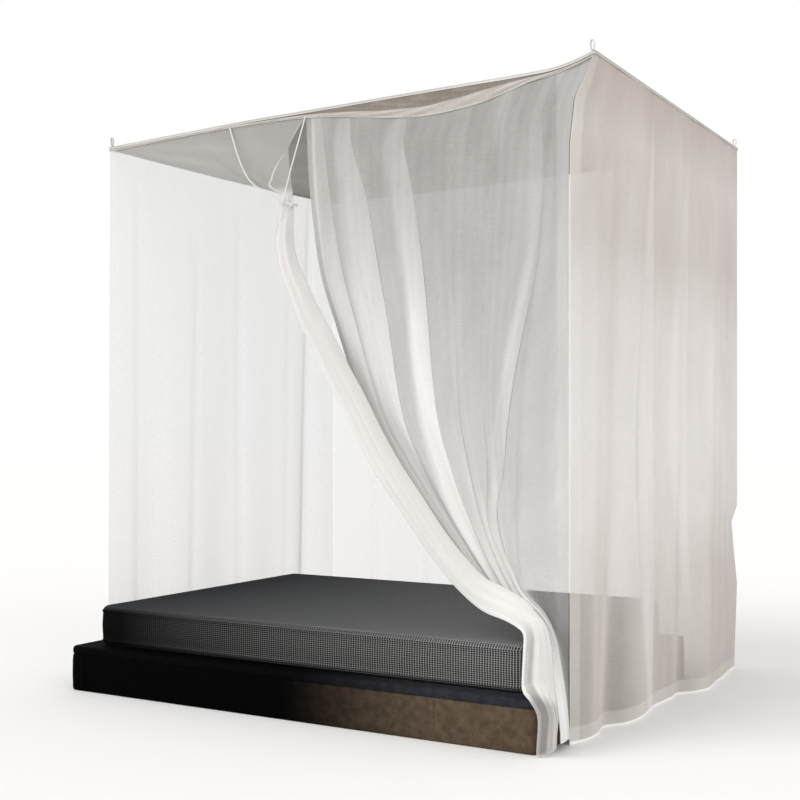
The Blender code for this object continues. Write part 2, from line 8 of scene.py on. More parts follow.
import bpy
import numpy as np
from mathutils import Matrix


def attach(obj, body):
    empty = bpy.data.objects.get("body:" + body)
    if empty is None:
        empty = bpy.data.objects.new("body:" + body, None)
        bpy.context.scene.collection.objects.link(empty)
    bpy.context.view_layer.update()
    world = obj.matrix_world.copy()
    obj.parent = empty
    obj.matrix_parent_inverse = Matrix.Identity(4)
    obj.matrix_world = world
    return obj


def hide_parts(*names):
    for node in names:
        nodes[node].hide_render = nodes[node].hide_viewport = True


def put(name, data):
    """A new object in the scene, showing this data."""
    made = bpy.data.objects.new(name, data)
    bpy.context.scene.collection.objects.link(made)
    return made


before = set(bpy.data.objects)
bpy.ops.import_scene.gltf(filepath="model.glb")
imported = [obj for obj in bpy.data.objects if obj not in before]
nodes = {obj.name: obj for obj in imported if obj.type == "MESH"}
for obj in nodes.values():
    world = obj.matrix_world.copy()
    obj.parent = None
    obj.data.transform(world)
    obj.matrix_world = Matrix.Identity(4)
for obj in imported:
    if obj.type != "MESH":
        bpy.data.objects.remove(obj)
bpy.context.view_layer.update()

# %% [markdown]
# The camera stands at chest height off the foot corner, about four and a half metres away, and looks
# level. A level camera keeps the net's upright seams upright, and the small upward shift then frames
# the object as a tall room would be framed, without tilting the camera.

# %% The camera
lens = bpy.data.cameras.new("photo_view")
lens.lens = 57.59
lens.shift_x = 0.0054
lens.shift_y = 0.0336
camera = put("photo_view", lens)
camera.location = (3.0762, -4.7520, 1.1059)
camera.rotation_euler = (np.radians(90.0), 0.0, np.radians(33.697))
bpy.context.scene.camera = camera
print("camera at", tuple(round(value, 3) for value in camera.location))

# %% [markdown]
# Net is judged against what is behind it, so the studio is plain: a white floor that fades into a
# white sky. A broad soft sun from high on the head side gives every fold a light and a dark flank,
# and a weaker and wider lamp from the foot side fills the dark one. The camera sees the sky as full
# white, but the sky lights the object a little less.

# %% The studio
bpy.context.scene.view_settings.view_transform = "Standard"
bpy.context.scene.cycles.transparent_max_bounces = 40
SKY_SEEN, SKY_LIGHT, SKY_POWER = (1.0, 1.0, 1.0, 1.0), (1.0, 0.988, 0.970, 1.0), 0.84
SUN_FROM, SUN_POWER, SUN_SPREAD = (-0.52, -0.60, 0.75), 1.35, 42.0
FILL_FROM, FILL_POWER, FILL_SPREAD = (0.85, -0.20, 0.40), 0.55, 70.0

world = bpy.data.worlds.new("studio")
bpy.context.scene.world = world
world.use_nodes = True
sky = world.node_tree
sky.nodes.clear()
seen = sky.nodes.new("ShaderNodeBackground")
seen.inputs["Color"].default_value = SKY_SEEN
lit = sky.nodes.new("ShaderNodeBackground")
lit.inputs["Color"].default_value = SKY_LIGHT
lit.inputs["Strength"].default_value = SKY_POWER
either = sky.nodes.new("ShaderNodeMixShader")
path = sky.nodes.new("ShaderNodeLightPath")
out = sky.nodes.new("ShaderNodeOutputWorld")
sky.links.new(path.outputs["Is Camera Ray"], either.inputs["Fac"])
sky.links.new(lit.outputs[0], either.inputs[1])
sky.links.new(seen.outputs[0], either.inputs[2])
sky.links.new(either.outputs[0], out.inputs["Surface"])

for name, (east, north, high), power, spread, colour in (
        ("soft_sun", SUN_FROM, SUN_POWER, SUN_SPREAD, (1.0, 0.985, 0.96)),
        ("soft_fill", FILL_FROM, FILL_POWER, FILL_SPREAD, (1.0, 0.985, 0.97))):
    lamp = bpy.data.lights.new(name, "SUN")
    lamp.energy, lamp.angle, lamp.color = power, np.radians(spread), colour
    hung = put(name, lamp)
    hung.location = (4 * east, 4 * north, 4 * high)
    lean, heading = np.arctan2(np.hypot(east, north), high), np.arctan2(-north, -east) - np.pi / 2
    hung.rotation_euler = (lean, 0.0, heading)
print("sun from", SUN_FROM, "fill from", FILL_FROM, "sky at", SKY_POWER)

# %% [markdown]
# The floor is one wide plane. It is stage and not part of the object.

# %% The floor
floor_mesh = bpy.data.meshes.new("floor")
floor_mesh.from_pydata([(-40, -40, 0), (40, -40, 0), (40, 40, 0), (-40, 40, 0)], [], [(0, 1, 2, 3)])
floor = put("floor", floor_mesh)
floor.location.z = -0.0006
floor_paint = bpy.data.materials.new("floor_paint")
floor_paint.use_nodes = True
floor_paint.node_tree.nodes["Principled BSDF"].inputs["Base Color"].default_value = (0.84, 0.84, 0.84, 1)
floor_paint.node_tree.nodes["Principled BSDF"].inputs["Roughness"].default_value = 0.9
floor_mesh.materials.append(floor_paint)

# %% [markdown]
# A few small tools serve every piece. Places on the net are easiest to think of from its near foot
# corner: along the bed toward the head, across it toward the far side, and up. Curves go smoothly
# through a short list of measured values, and a grid of places becomes a mesh with a flat pattern
# (its UV map) measured in metres of cloth, so that the weave keeps its real scale.

# %% Places, curves and grids
FOOT_X, NEAR_Y = 1.1115, -0.7186
GAP, CLEAR = 0.0003, 0.0021


def to_world(places):
    """x = FOOT_X - along, y = NEAR_Y + across, z = up."""
    return np.stack((FOOT_X - places[..., 0], NEAR_Y + places[..., 1], places[..., 2]), axis=-1)


def smooth(keys, values, at):
    """Cubic through the values: (1+2f)(1-f)^2 a + f(1-f)^2 h a' + f^2(3-2f) b + f^2(f-1) h b'."""
    keys, values = np.asarray(keys, float), np.asarray(values, float)
    slopes = np.gradient(values, keys, axis=0)
    low = np.clip(np.searchsorted(keys, at, side="right") - 1, 0, len(keys) - 2)
    span = keys[low + 1] - keys[low]
    f = np.clip((at - keys[low]) / span, 0, 1)
    if values.ndim > 1:
        f, span = f[:, None], span[:, None]
    start = (1 + 2 * f) * (1 - f) ** 2 * values[low] + f * (1 - f) ** 2 * span * slopes[low]
    end = f * f * (3 - 2 * f) * values[low + 1] + f * f * (f - 1) * span * slopes[low + 1]
    return start + end


def hump(value, middle, width):
    """A soft ridge: exp(-((value - middle) / width)^2)."""
    return np.exp(-(((value - middle) / width) ** 2))


def step(value, low, high):
    """A soft step from 0 to 1: 3f^2 - 2f^3 with f = (value - low) / (high - low)."""
    f = np.clip((value - low) / (high - low), 0, 1)
    return f * f * (3 - 2 * f)


def uneven(u, v, seed):
    """A slow, never repeating swell between about -1 and 1: a sum of crossed sines."""
    total = np.zeros(np.broadcast(u, v).shape)
    for k in range(1, 6):
        a, b = np.sin(seed * 1.7 + k * 2.4), np.cos(seed * 2.9 + k * 1.3)
        total = total + np.sin((1.1 * k * u * (1 + 0.3 * a) + 0.9 * k * v * b) * 2 + seed * k + a) / k
    return total / 1.6


def add_mesh(name, points, faces, look):
    """A new smooth-shaded piece from world points and a list of faces, riding on the frame."""
    mesh = bpy.data.meshes.new(name)
    mesh.from_pydata(points.reshape(-1, 3).tolist(), [], faces)
    mesh.materials.append(look)
    mesh.shade_smooth()
    made = put(name, mesh)
    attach(made, "root")
    return made


def grid_faces(rows, columns, closed=False):
    """Quads of a grid of points, the last column joined to the first where it is closed."""
    index = np.arange(rows * columns).reshape(rows, columns)
    right = np.roll(index, -1, axis=1) if closed else index[:, 1:]
    left = index if closed else index[:, :-1]
    return np.stack((left[:-1], right[:-1], right[1:], left[1:]), axis=-1).reshape(-1, 4)


def cloth(name, places, outward, tone, density, look):
    """A sheet on a grid of places. tone is how light the threads look, and density how close they
    lie, which the mesh keeps under the name closeness."""
    rows, columns = places.shape[:2]
    points = to_world(places)
    lengths = np.linalg.norm(np.diff(points, axis=1), axis=-1).max(axis=0)
    drops = np.linalg.norm(np.diff(points, axis=0), axis=-1).max(axis=1)
    u = np.broadcast_to(np.concatenate(([0], np.cumsum(lengths))), (rows, columns))
    v = np.broadcast_to(np.concatenate(([0], np.cumsum(drops)))[:, None], (rows, columns))
    tone, density = np.broadcast_to(tone, (rows, columns)), np.broadcast_to(density, (rows, columns))
    facing = np.cross(points[0, -1] - points[0, 0], points[-1, 0] - points[0, 0])
    if np.dot(facing, outward) < 0:
        points, u, v, tone, density = (grid[:, ::-1] for grid in (points, u, v, tone, density))
    made = add_mesh(name, np.ascontiguousarray(points), grid_faces(rows, columns).tolist(), look)
    mesh = made.data
    corner = np.zeros(len(mesh.loops), int)
    mesh.loops.foreach_get("vertex_index", corner)
    flat = np.stack((u, v), axis=-1).reshape(-1, 2)
    mesh.uv_layers.new(name="cloth").data.foreach_set("uv", flat[corner].ravel())
    for key_name, values in (("tone", tone), ("closeness", density)):
        attribute = mesh.attributes.new(key_name, "FLOAT", "POINT")
        attribute.data.foreach_set("value", np.clip(values, 0, 1).astype(np.float32).ravel())
    a, b, c = points[:-1, :-1], points[1:, :-1], points[:-1, 1:]
    area = np.linalg.norm(np.cross(b - a, c - a), axis=-1).sum()
    print(f"{name}: {2 * (rows - 1) * (columns - 1)} triangles, {area:.2f} square metres")
    return made


# %% [markdown]
# ## The net's threads
# Cotton net of this kind has uneven threads: thick and thin places run for a few centimetres along a
# thread. A pattern of stretched noise in both thread directions gives that, and it drives colour,
# openness and a little relief alike. It is a node group, because every sheet of the net uses it.

# %% Shader helpers and the thread pattern


def node(tree, kind, links=None, **settings):
    """A new node with its settings, its inputs set to a value or joined to another node's output."""
    made = tree.nodes.new(kind)
    for key_name, value in settings.items():
        setattr(made, key_name, value)
    for socket, value in (links or {}).items():
        if isinstance(value, bpy.types.NodeSocket):
            tree.links.new(value, made.inputs[socket])
        else:
            made.inputs[socket].default_value = value
    return made


def maths(tree, operation, first, second=None, clamp=False):
    """The output of a math node on one or two values or outputs."""
    values = {0: first} if second is None else {0: first, 1: second}
    return node(tree, "ShaderNodeMath", values, operation=operation, use_clamp=clamp).outputs[0]


def ranged(tree, value, low=0.0, high=1.0, to_low=0.0, to_high=1.0, **settings):
    """A value carried from the range low to high into the range to_low to to_high, and kept there."""
    ends = {"From Min": low, "From Max": high, "To Min": to_low, "To Max": to_high}
    return node(tree, "ShaderNodeMapRange", {"Value": value, **ends}, **settings).outputs[0]


def chosen(tree, factor, first, second):
    """A value mixed from two: inputs 2 and 3 of a mix node."""
    return node(tree, "ShaderNodeMix", {"Factor": factor, 2: first, 3: second}).outputs[0]


def blended(tree, factor, first, second):
    """A colour mixed from two colours or outputs: inputs 6 and 7 of a mix node, and output 2."""
    first, second = ((*end, 1) if isinstance(end, tuple) else end for end in (first, second))
    return node(tree, "ShaderNodeMix", {"Factor": factor, 6: first, 7: second}, data_type="RGBA").outputs[2]


def bumped(tree, shader, height, strength, distance):
    """Fine relief on a shader, up to a distance in metres."""
    relief = node(tree, "ShaderNodeBump", {"Height": height, "Strength": strength, "Distance": distance})
    tree.links.new(relief.outputs[0], shader.inputs["Normal"])


def new_material(name, roughness, specular):
    """A new material, its tree and its shader."""
    made = bpy.data.materials.new(name)
    made.use_nodes = True
    shader = made.node_tree.nodes["Principled BSDF"]
    shader.inputs["Roughness"].default_value = roughness
    shader.inputs["Specular IOR Level"].default_value = specular
    return made, made.node_tree, shader


def new_group(name, inputs, outputs):
    """An empty node group. inputs are (name, kind, value) and outputs (name, kind)."""
    group = bpy.data.node_groups.new(name, "ShaderNodeTree")
    for label, kind, value in inputs:
        socket = group.interface.new_socket(name=label, in_out="INPUT", socket_type=kind)
        if value is not None:
            socket.default_value = value
    for label, kind in outputs:
        group.interface.new_socket(name=label, in_out="OUTPUT", socket_type=kind)
    return group, group.nodes.new("NodeGroupInput"), group.nodes.new("NodeGroupOutput")


def stretched_noise(tree, vector, scale, detail=2.0):
    """Noise on a vector scaled apart along its axes."""
    placed = node(tree, "ShaderNodeMapping", {"Vector": vector, "Scale": scale})
    return node(tree, "ShaderNodeTexNoise",
                {"Vector": placed.outputs[0], "Scale": 1.0, "Detail": detail, "Roughness": 0.6})


threads, come_in, go_out = new_group(
    "net_threads",
    [("Cloth", "NodeSocketVector", None), ("Fineness", "NodeSocketFloat", 1.0)],
    [("Slubs", "NodeSocketFloat"), ("Patches", "NodeSocketFloat")])
fine = node(threads, "ShaderNodeVectorMath", {0: come_in.outputs["Cloth"]}, operation="SCALE")
threads.links.new(come_in.outputs["Fineness"], fine.inputs["Scale"])
upright = stretched_noise(threads, fine.outputs[0], (420.0, 22.0, 1.0))
level = stretched_noise(threads, fine.outputs[0], (16.0, 380.0, 1.0))
both = maths(threads, "ADD", upright.outputs["Fac"], level.outputs["Fac"])
slubs = ranged(threads, both, 0.72, 1.28)
patches = stretched_noise(threads, come_in.outputs["Cloth"], (9.0, 3.5, 1.0), 3.0)
threads.links.new(slubs, go_out.inputs["Slubs"])
threads.links.new(patches.outputs["Fac"], go_out.inputs["Patches"])
print("group:", threads.name)

# %% [markdown]
# ## The net itself
# A net isn't glass: what shows is threads with holes between them. Seen square on, a share of the
# view goes through the holes. Seen at a slant, the threads close up, so folds that turn away look
# dense and white. With a share a of thread and an angle t, what stops the view is
# 1 - (1 - a) ^ (1 / cos t). Layer Weight gives cos t, and it stays in the material.

# %% The net's material


LEAST_COSINE = 0.12  # the flattest slant that the threads' cover is reckoned for


def net_material(name, shade, light, open_share, close_share, speckle=0.08, drifting=0.08):
    """Net whose colour runs from shade to light with its tone, and whose threads cover between
    open_share and close_share of it with its density."""
    made, tree, shader = new_material(name, 0.85, 0.15)
    pattern = node(tree, "ShaderNodeUVMap", uv_map="cloth")
    weave = node(tree, "ShaderNodeGroup", node_tree=threads)
    tree.links.new(pattern.outputs[0], weave.inputs["Cloth"])
    tone = node(tree, "ShaderNodeAttribute", attribute_name="tone").outputs["Fac"]
    density = node(tree, "ShaderNodeAttribute", attribute_name="closeness").outputs["Fac"]
    drift = ranged(tree, weave.outputs["Patches"], 0.3, 0.7, -drifting, drifting)
    speck = ranged(tree, weave.outputs["Slubs"], to_low=-speckle, to_high=speckle)
    mixed = maths(tree, "ADD", maths(tree, "ADD", tone, drift), speck, clamp=True)
    tree.links.new(blended(tree, mixed, shade, light), shader.inputs["Base Color"])
    holes = ranged(tree, density, to_low=1 - open_share, to_high=1 - close_share)
    fray = ranged(tree, weave.outputs["Slubs"], to_low=1 + speckle, to_high=1 - speckle)
    open_part = maths(tree, "MULTIPLY", holes, fray, clamp=True)
    slant = node(tree, "ShaderNodeLayerWeight", {"Blend": 0.5})
    cosine = maths(tree, "SUBTRACT", 1.0, slant.outputs["Facing"])
    power = maths(tree, "DIVIDE", 1.0, maths(tree, "MAXIMUM", cosine, LEAST_COSINE))
    cover = maths(tree, "SUBTRACT", 1.0, maths(tree, "POWER", open_part, power), clamp=True)
    tree.links.new(cover, shader.inputs["Alpha"])
    bumped(tree, shader, weave.outputs["Slubs"], 0.25, 0.0006)
    return made


near_net = net_material("net_near", (0.27, 0.267, 0.256), (0.93, 0.92, 0.915), 0.42, 0.97, 0.05, 0.03)
bunch_net = net_material("net_bunch", (0.45, 0.44, 0.43), (0.97, 0.955, 0.945), 0.45, 0.93, 0.03, 0.03)
foot_net = net_material("net_foot", (0.38, 0.325, 0.28), (0.95, 0.945, 0.945), 0.50, 0.95, 0.04, 0.03)
back_net = net_material("net_back", (0.70, 0.695, 0.69), (0.95, 0.945, 0.94), 0.20, 0.80, 0.01, 0.03)
# The roof's net is darker than the rest: partly its own grey and partly painted shade for its underside.
roof_net = net_material("net_roof", (0.36, 0.35, 0.325), (0.84, 0.82, 0.80), 0.86, 0.96)
heading_net = net_material("net_heading", (0.235, 0.205, 0.175), (0.82, 0.79, 0.76), 0.86, 0.97)
print("net materials: near, bunch, foot, back, roof and heading")

# %% [markdown]
# ## Cloth turned over on itself
# Where a hanging has more cloth than room, it doubles back: it runs to a crisp edge, turns, runs
# back behind itself, turns again and goes on. Three layers lie there, and three layers of net look
# whiter than one. A sheet here is therefore read off a smooth surface, at shares across that run
# forward, back and forward again, each layer a little behind the one before it.

# %% Reading a surface and turning cloth over


def sample(grid, down, across):
    """Bilinear value of a grid of places at shares down and across it."""
    rows, columns = grid.shape[0] - 1, grid.shape[1] - 1
    a, b = np.clip(down, 0, 1) * rows, np.clip(across, 0, 1) * columns
    i, j = np.minimum(a.astype(int), rows - 1), np.minimum(b.astype(int), columns - 1)
    f, g = (a - i)[..., None], (b - j)[..., None]
    upper = (1 - g) * grid[i, j] + g * grid[i, j + 1]
    lower = (1 - g) * grid[i + 1, j] + g * grid[i + 1, j + 1]
    return (1 - f) * upper + f * lower


def between(stops, phase):
    """Piecewise straight values: at phase k the value is stops[..., k]."""
    hats = np.maximum(0, 1 - np.abs(phase[None] - np.arange(stops.shape[-1])[:, None]))
    return stops @ hats


def eased(grid, times):
    """Rounds the turns across a grid: (a + 2b + c) / 4, the ends kept, a few times over."""
    for _ in range(times):
        grid = np.concatenate((grid[:, :1], (grid[:, :-2] + 2 * grid[:, 1:-1] + grid[:, 2:]) / 4,
                               grid[:, -1:]), axis=1)
    return grid


FULL_TURN = 0.03


def turned_over(edges, widths, per_layer):
    """Shares across, layer depth (0 front, 1 back) and phase for folds with crisp edges of a width.

    Columns lie close together at every turn, (1 - cos(pi p)) / 2, so that it stays narrow."""
    rows, folds = edges.shape
    stops = np.zeros((rows, 2 * folds + 2))
    stops[:, 1:-1:2], stops[:, 2:-1:2], stops[:, -1] = edges, edges - widths, 1
    even = np.linspace(0, 1, per_layer, endpoint=False)
    close = 0.5 - 0.5 * np.cos(np.pi * even)
    phase = np.append((np.arange(2 * folds + 1)[:, None] + close).ravel(), 2 * folds + 1)
    turns = np.zeros_like(stops)
    turns[:, 2:-1:2] = np.minimum(1, widths / FULL_TURN)
    return eased(between(stops, phase), 3), eased(between(turns, phase), 3), phase


def doubled_light(share, phase, edges, widths, strength):
    """How doubled the cloth looks: 1 from a soft left side up to a crisp edge, for each fold."""
    most = np.zeros(share.shape)
    for fold in range(edges.shape[1]):
        edge, width = edges[:, fold, None], widths[:, fold, None]
        soft = 0.008 + 0.16 * width
        front = (phase[None] < 2 * fold + 1) * step(share, edge - width - soft, edge - width + soft)
        inside = (phase[None] >= 2 * fold + 1) & (phase[None] < 2 * fold + 2)
        after = (phase[None] >= 2 * fold + 2) * (1 - step(share, edge - 0.012, edge + 0.001))
        shown = strength[:, fold, None] * np.maximum(np.maximum(front, inside), after)
        most = np.maximum(most, shown * np.minimum(1, width / FULL_TURN))
    return most


print("a turn is whole from a width of", FULL_TURN, "of the cloth")

# %% [markdown]
# ## The roof
# The roof is a flat panel hung by its four corners, so its edges are almost straight and its middle
# sags. A surface between four edges (a Coons patch) plus a sine sag gives it. Faint pull lines run in
# from each corner, where the loops carry the weight, and the edge turns down as a narrow lip.

# %% The top edges and the roof
NEAR_EDGE = np.array([  # along, up
    (-0.096, 2.400), (-0.050, 2.385), (0.000, 2.373), (0.060, 2.364), (0.150, 2.361), (0.400, 2.361),
    (0.700, 2.362), (1.050, 2.362), (1.420, 2.363), (1.800, 2.358), (2.100, 2.353), (2.255, 2.350)])
NET_WIDTH, TOP_FOOT = 1.70, 2.40
FAR_FOOT, FAR_HEAD = np.array((-0.018, 1.70, 2.380)), np.array((2.285, 1.710, 2.360))
ROOF_SAG, EDGE_SAG, LIP_OUT, LIP_DROP, TOP_GAP = 0.035, 0.010, 0.0024, 0.010, 0.0030
ROOF_RUNS, ROOF_OVERS, PULL_HEIGHT, SLACK_HEIGHT = 200, 150, 0.0035, 0.002


def near_top(along):
    """Height of the near top edge at a place along it."""
    return smooth(NEAR_EDGE[:, 0], NEAR_EDGE[:, 1], np.ravel(along)).reshape(np.shape(along))


def sagging(start, end, share):
    """A straight line from start to end that sags by EDGE_SAG sin(pi share)."""
    points = start + (end - start) * share[:, None]
    points[:, 2] -= EDGE_SAG * np.sin(np.pi * share)
    return points


run = np.linspace(0, 1, ROOF_RUNS)
over = np.linspace(0, 1, ROOF_OVERS)
near_along = NEAR_EDGE[0, 0] + (NEAR_EDGE[-1, 0] - NEAR_EDGE[0, 0]) * run
near_line = np.column_stack((near_along, np.zeros(ROOF_RUNS), near_top(near_along)))
far_line = sagging(FAR_FOOT, FAR_HEAD, run)
foot_line = near_line[0] + (FAR_FOOT - near_line[0]) * over[:, None]
head_line = sagging(near_line[-1], FAR_HEAD, over)
u, v = run[:, None, None], over[None, :, None]
roof = (1 - v) * near_line[:, None] + v * far_line[:, None]
roof = roof + (1 - u) * foot_line[None] + u * head_line[None]
roof = roof - (1 - u) * (1 - v) * near_line[0] - (1 - u) * v * foot_line[-1]
roof = roof - u * (1 - v) * near_line[-1] - u * v * head_line[-1]
dip = np.sin(np.pi * run)[:, None] * np.sin(np.pi * over)[None]
roof[..., 2] -= ROOF_SAG * dip
pull = np.zeros((ROOF_RUNS, ROOF_OVERS))
for corner_u, corner_v in ((0, 0), (0, 1), (1, 0), (1, 1)):
    du, dv = 2.35 * (run[:, None] - corner_u), 1.70 * (over[None] - corner_v)
    turn = np.arctan2(np.abs(dv), np.abs(du))
    reach = np.hypot(du, dv)
    pull += np.cos(9 * turn + corner_u + 2 * corner_v) * hump(reach, 0.35, 0.28)
slack = uneven(3 * u[..., 0], 2.5 * v[..., 0], 2)
roof[..., 2] += PULL_HEIGHT * pull * np.minimum(1, 6 * dip) + SLACK_HEIGHT * slack * dip
for edge, axis, way in ((np.s_[0], 0, -1), (np.s_[-1], 0, 1)):
    roof[edge, :, axis] += way * LIP_OUT
for edge, axis, way in ((np.s_[0], 1, -1), (np.s_[-1], 1, 1)):
    roof[:, edge, axis] += way * LIP_OUT
roof = np.pad(roof, ((1, 1), (1, 1), (0, 0)), mode="edge")
rim = np.ones(roof.shape[:2], bool)
rim[1:-1, 1:-1] = False
roof[rim, 2] -= LIP_DROP
edge_tone = np.pad(np.zeros((ROOF_RUNS, ROOF_OVERS)), 1, constant_values=0.5)
# Painted light and shade: the tone follows the pull lines, lighter on their ridges and darker between them.
roof_tone = 0.10 + 0.2 * np.pad(pull, 1, mode="edge") + edge_tone
inner = np.zeros((ROOF_RUNS - 2, ROOF_OVERS - 2))
roof_density = 0.1 + 0.8 * np.pad(inner, 2, constant_values=1)
roof_piece = cloth("roof_cloth", roof, (0, 0, 1), roof_tone, roof_density, roof_net)
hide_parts("roof_panel")

# %% [markdown]
# ## The hanging walls
# A wall hangs from its edge of the roof and stands on the floor in soft waves. A curve through a
# short table of places gives the wave along the hem, and it fades upward with (1 - height) ^ 0.9.
# Finer folds are soft ridges whose place drifts on their way up.

# %% Seams, waves and the wall maker
NEAR_FOOT_SEAM = [(1.0, -0.096, 0), (0.9375, -0.020, 0), (0.875, -0.002, 0), (0.8, 0, 0), (0, 0, 0)]
FAR_FOOT_SEAM = [(1.0, -0.018, 1.70), (0.315, -0.018, 1.70), (0.285, -0.014, 1.636),
                 (0.230, -0.016, 1.662), (0.165, -0.018, 1.70), (0, 0, 1.712)]
NEAR_HEAD_EDGE = [(1.0, 2.255, 0), (0.0, 2.270, 0.004)]
FAR_HEAD_SEAM = [(1.0, 2.285, 1.710), (0.0, 2.280, 1.712)]
FOOT_BENDS = [(0, 0, 0), (0.070, 0.022, 0), (0.190, 0.020, 0.01), (0.304, -0.004, 0.03),
              (0.390, 0.038, 0.04), (0.500, 0.048, 0.05), (0.720, 0.016, 0.02), (0.930, 0.012, 0),
              (1.005, 0.004, 0.05), (1.065, 0.042, 0.12), (1.170, 0.069, 0.18), (1.320, 0.050, 0.16),
              (1.480, 0.032, 0.10), (1.600, 0.012, 0.03), (1.712, 0, 0)]
FAR_BENDS = [(0, 0, 0), (0.150, 0.004, 0), (0.300, 0.026, 0.02), (0.440, 0.004, 0),
             (0.640, 0.010, -0.04), (0.860, 0.032, -0.06), (1.030, 0.005, -0.02), (1.220, 0.012, 0.04),
             (1.420, 0.024, 0.06), (1.600, 0.004, 0.03), (1.780, 0.011, -0.02), (1.950, 0.028, -0.05),
             (2.120, 0.006, -0.02), (2.300, 0, 0)]
HEAD_BENDS = [(0, 0, 0), (0.140, 0.006, 0), (0.280, 0.025, -0.05), (0.440, 0.004, -0.02),
              (0.620, 0.010, 0.03), (0.820, 0.028, 0.04), (1.000, 0.006, 0.02), (1.200, 0.013, 0),
              (1.370, 0.004, 0.01), (1.480, 0.045, 0.02), (1.590, 0.006, 0.01), (1.712, 0, 0)]
WALL_ROWS, HEM_ROWS, HEM_SHARE = 190, 24, 0.032


def seam_at(seam, share):
    """Along and across of a seam at a share of the wall's height, straight between its rows."""
    rows = np.array(seam, float)[::-1]
    return np.stack([np.interp(share, rows[:, 0], rows[:, k]) for k in (1, 2)], axis=-1)


def hem_rows(count):
    """Shares of a wall's height from 1 to 0, closer together in the hem's last few centimetres."""
    upper = np.linspace(1, HEM_SHARE, count - HEM_ROWS)
    return np.concatenate((upper[:-1], np.linspace(HEM_SHARE, 0.0, HEM_ROWS + 1)))


def wall(edge, seams, bends, columns, axis, sign, folds):
    """Places of a wall: between its seams, under its roof edge, waved by bends and folds.

    A fold is (place at the hem, place at the top, out, width, lowest height, highest height)."""
    other = 1 - axis
    height = hem_rows(WALL_ROWS)
    share = np.linspace(0, 1, columns + 1)
    steps = (edge[:, other] - edge[0, other]) / (edge[-1, other] - edge[0, other])
    top = np.stack([np.interp(share, steps, edge[:, k]) for k in range(3)], axis=-1)
    first, last = (seam_at(seam, height) for seam in seams)
    c, h = share[None, :, None], height[:, None, None]
    hem = first[-1] + (last[-1] - first[-1]) * c
    places = np.zeros((len(height), columns + 1, 3))
    places[..., :2] = hem * (1 - h) + top[None, :, :2] * h
    for seam, nearness in ((first, (1 - c) ** 10), (last, c**10)):
        straight = seam[-1] * (1 - h[..., 0]) + seam[0] * h[..., 0]
        places[..., :2] += (seam - straight)[:, None] * nearness
    at, stand, lean = np.array(bends).T
    width = at[-1]
    rows = [smooth(at + lean * up, stand, share * width) * (1 - up) ** 0.9 for up in height]
    wave = np.array(rows)
    run_at = share[None] * width
    up = height[:, None]
    ripple = np.zeros_like(wave)
    for hem_at, top_at, stand_out, broad, low, high in folds:
        window = step(up, low - 0.08, low + 0.08) * (1 - step(up, high - 0.12, high + 0.12))
        ripple += stand_out * window * hump(run_at, hem_at + (top_at - hem_at) * up, broad)
    ends = np.minimum(1, 14 * share * (1 - share))[None]
    ripple = (ripple + 0.0012 * uneven(5 * run_at, 1.5 * up, axis + 3)) * ends
    places[..., axis] += sign * (wave + ripple)
    places[..., 2] = height[:, None] * (top[None, :, 2] - TOP_GAP)
    places[:, 0, other] += CLEAR
    places[:, -1, other] -= CLEAR
    return places, up, run_at, ripple


def hem_marks(up, tall):
    """Where the hem is: a doubled strip 60 mm deep, and a thick turned edge of 9 mm."""
    height = up * tall
    strip = 1 - step(height, 0.056, 0.062)
    turned = 1 - step(height, 0.008, 0.012)
    return strip, turned


# %% [markdown]
# The foot wall is the panel that the light falls on. Its folds are broad and soft. A wide bright
# stretch at a third of its width is turned over, and a faint one past the middle is only toned as if
# it were. Long slanting folds run to the far corner, where the seam is caught back behind the bed.

# %% The foot wall
FOOT_FOLDS = [
    (0.130, 0.120, 0.004, 0.040, 0.0, 0.95), (0.250, 0.235, 0.002, 0.040, 0.1, 0.90),
    (0.500, 0.440, 0.004, 0.080, 0.0, 1.00), (0.700, 0.690, 0.002, 0.050, 0.2, 0.95),
    (0.930, 0.900, 0.004, 0.045, 0.0, 0.85), (1.150, 1.350, 0.005, 0.050, 0.0, 0.75),
    (1.290, 1.440, 0.004, 0.040, 0.0, 0.70), (1.420, 1.560, 0.004, 0.032, 0.0, 0.45),
    (1.560, 1.640, 0.005, 0.026, 0.05, 0.35)]
FOOT_TURNS = np.array([  # up as a share, then edge and width of each turned-over stretch, as shares
    (1.00, 0.350, 0.000, 0.600, 0.000), (0.88, 0.354, 0.022, 0.603, 0.020),
    (0.75, 0.359, 0.058, 0.608, 0.070), (0.58, 0.365, 0.095, 0.610, 0.110),
    (0.43, 0.371, 0.115, 0.611, 0.115), (0.30, 0.386, 0.115, 0.615, 0.070),
    (0.20, 0.398, 0.102, 0.620, 0.020), (0.08, 0.404, 0.070, 0.622, 0.000),
    (0.00, 0.405, 0.040, 0.622, 0.000)])
TURN_GAP, WALL_LAYERS = 0.0022, np.array((1.0, 0.0))  # the second stretch keeps one layer


def turned_wall(front, up, turns, per_layer, axis, sign):
    """A wall with turned-over stretches, each layer TURN_GAP further in, and how doubled it looks."""
    at = smooth(turns[::-1, 0], turns[::-1, 1:], up[:, 0])
    edges, widths = at[:, 0::2], np.maximum(at[:, 1::2], 0)
    share, depth, phase = turned_over(edges, widths * WALL_LAYERS, per_layer)
    down = np.broadcast_to(np.linspace(0, 1, len(up))[:, None], share.shape)
    turned = sample(front, down, share)
    turned[..., axis] -= sign * 2 * TURN_GAP * depth * np.minimum(1, 40 * widths.max(axis=1))[:, None]
    return turned, share, doubled_light(share, phase, edges, widths, np.ones(edges.shape)), down


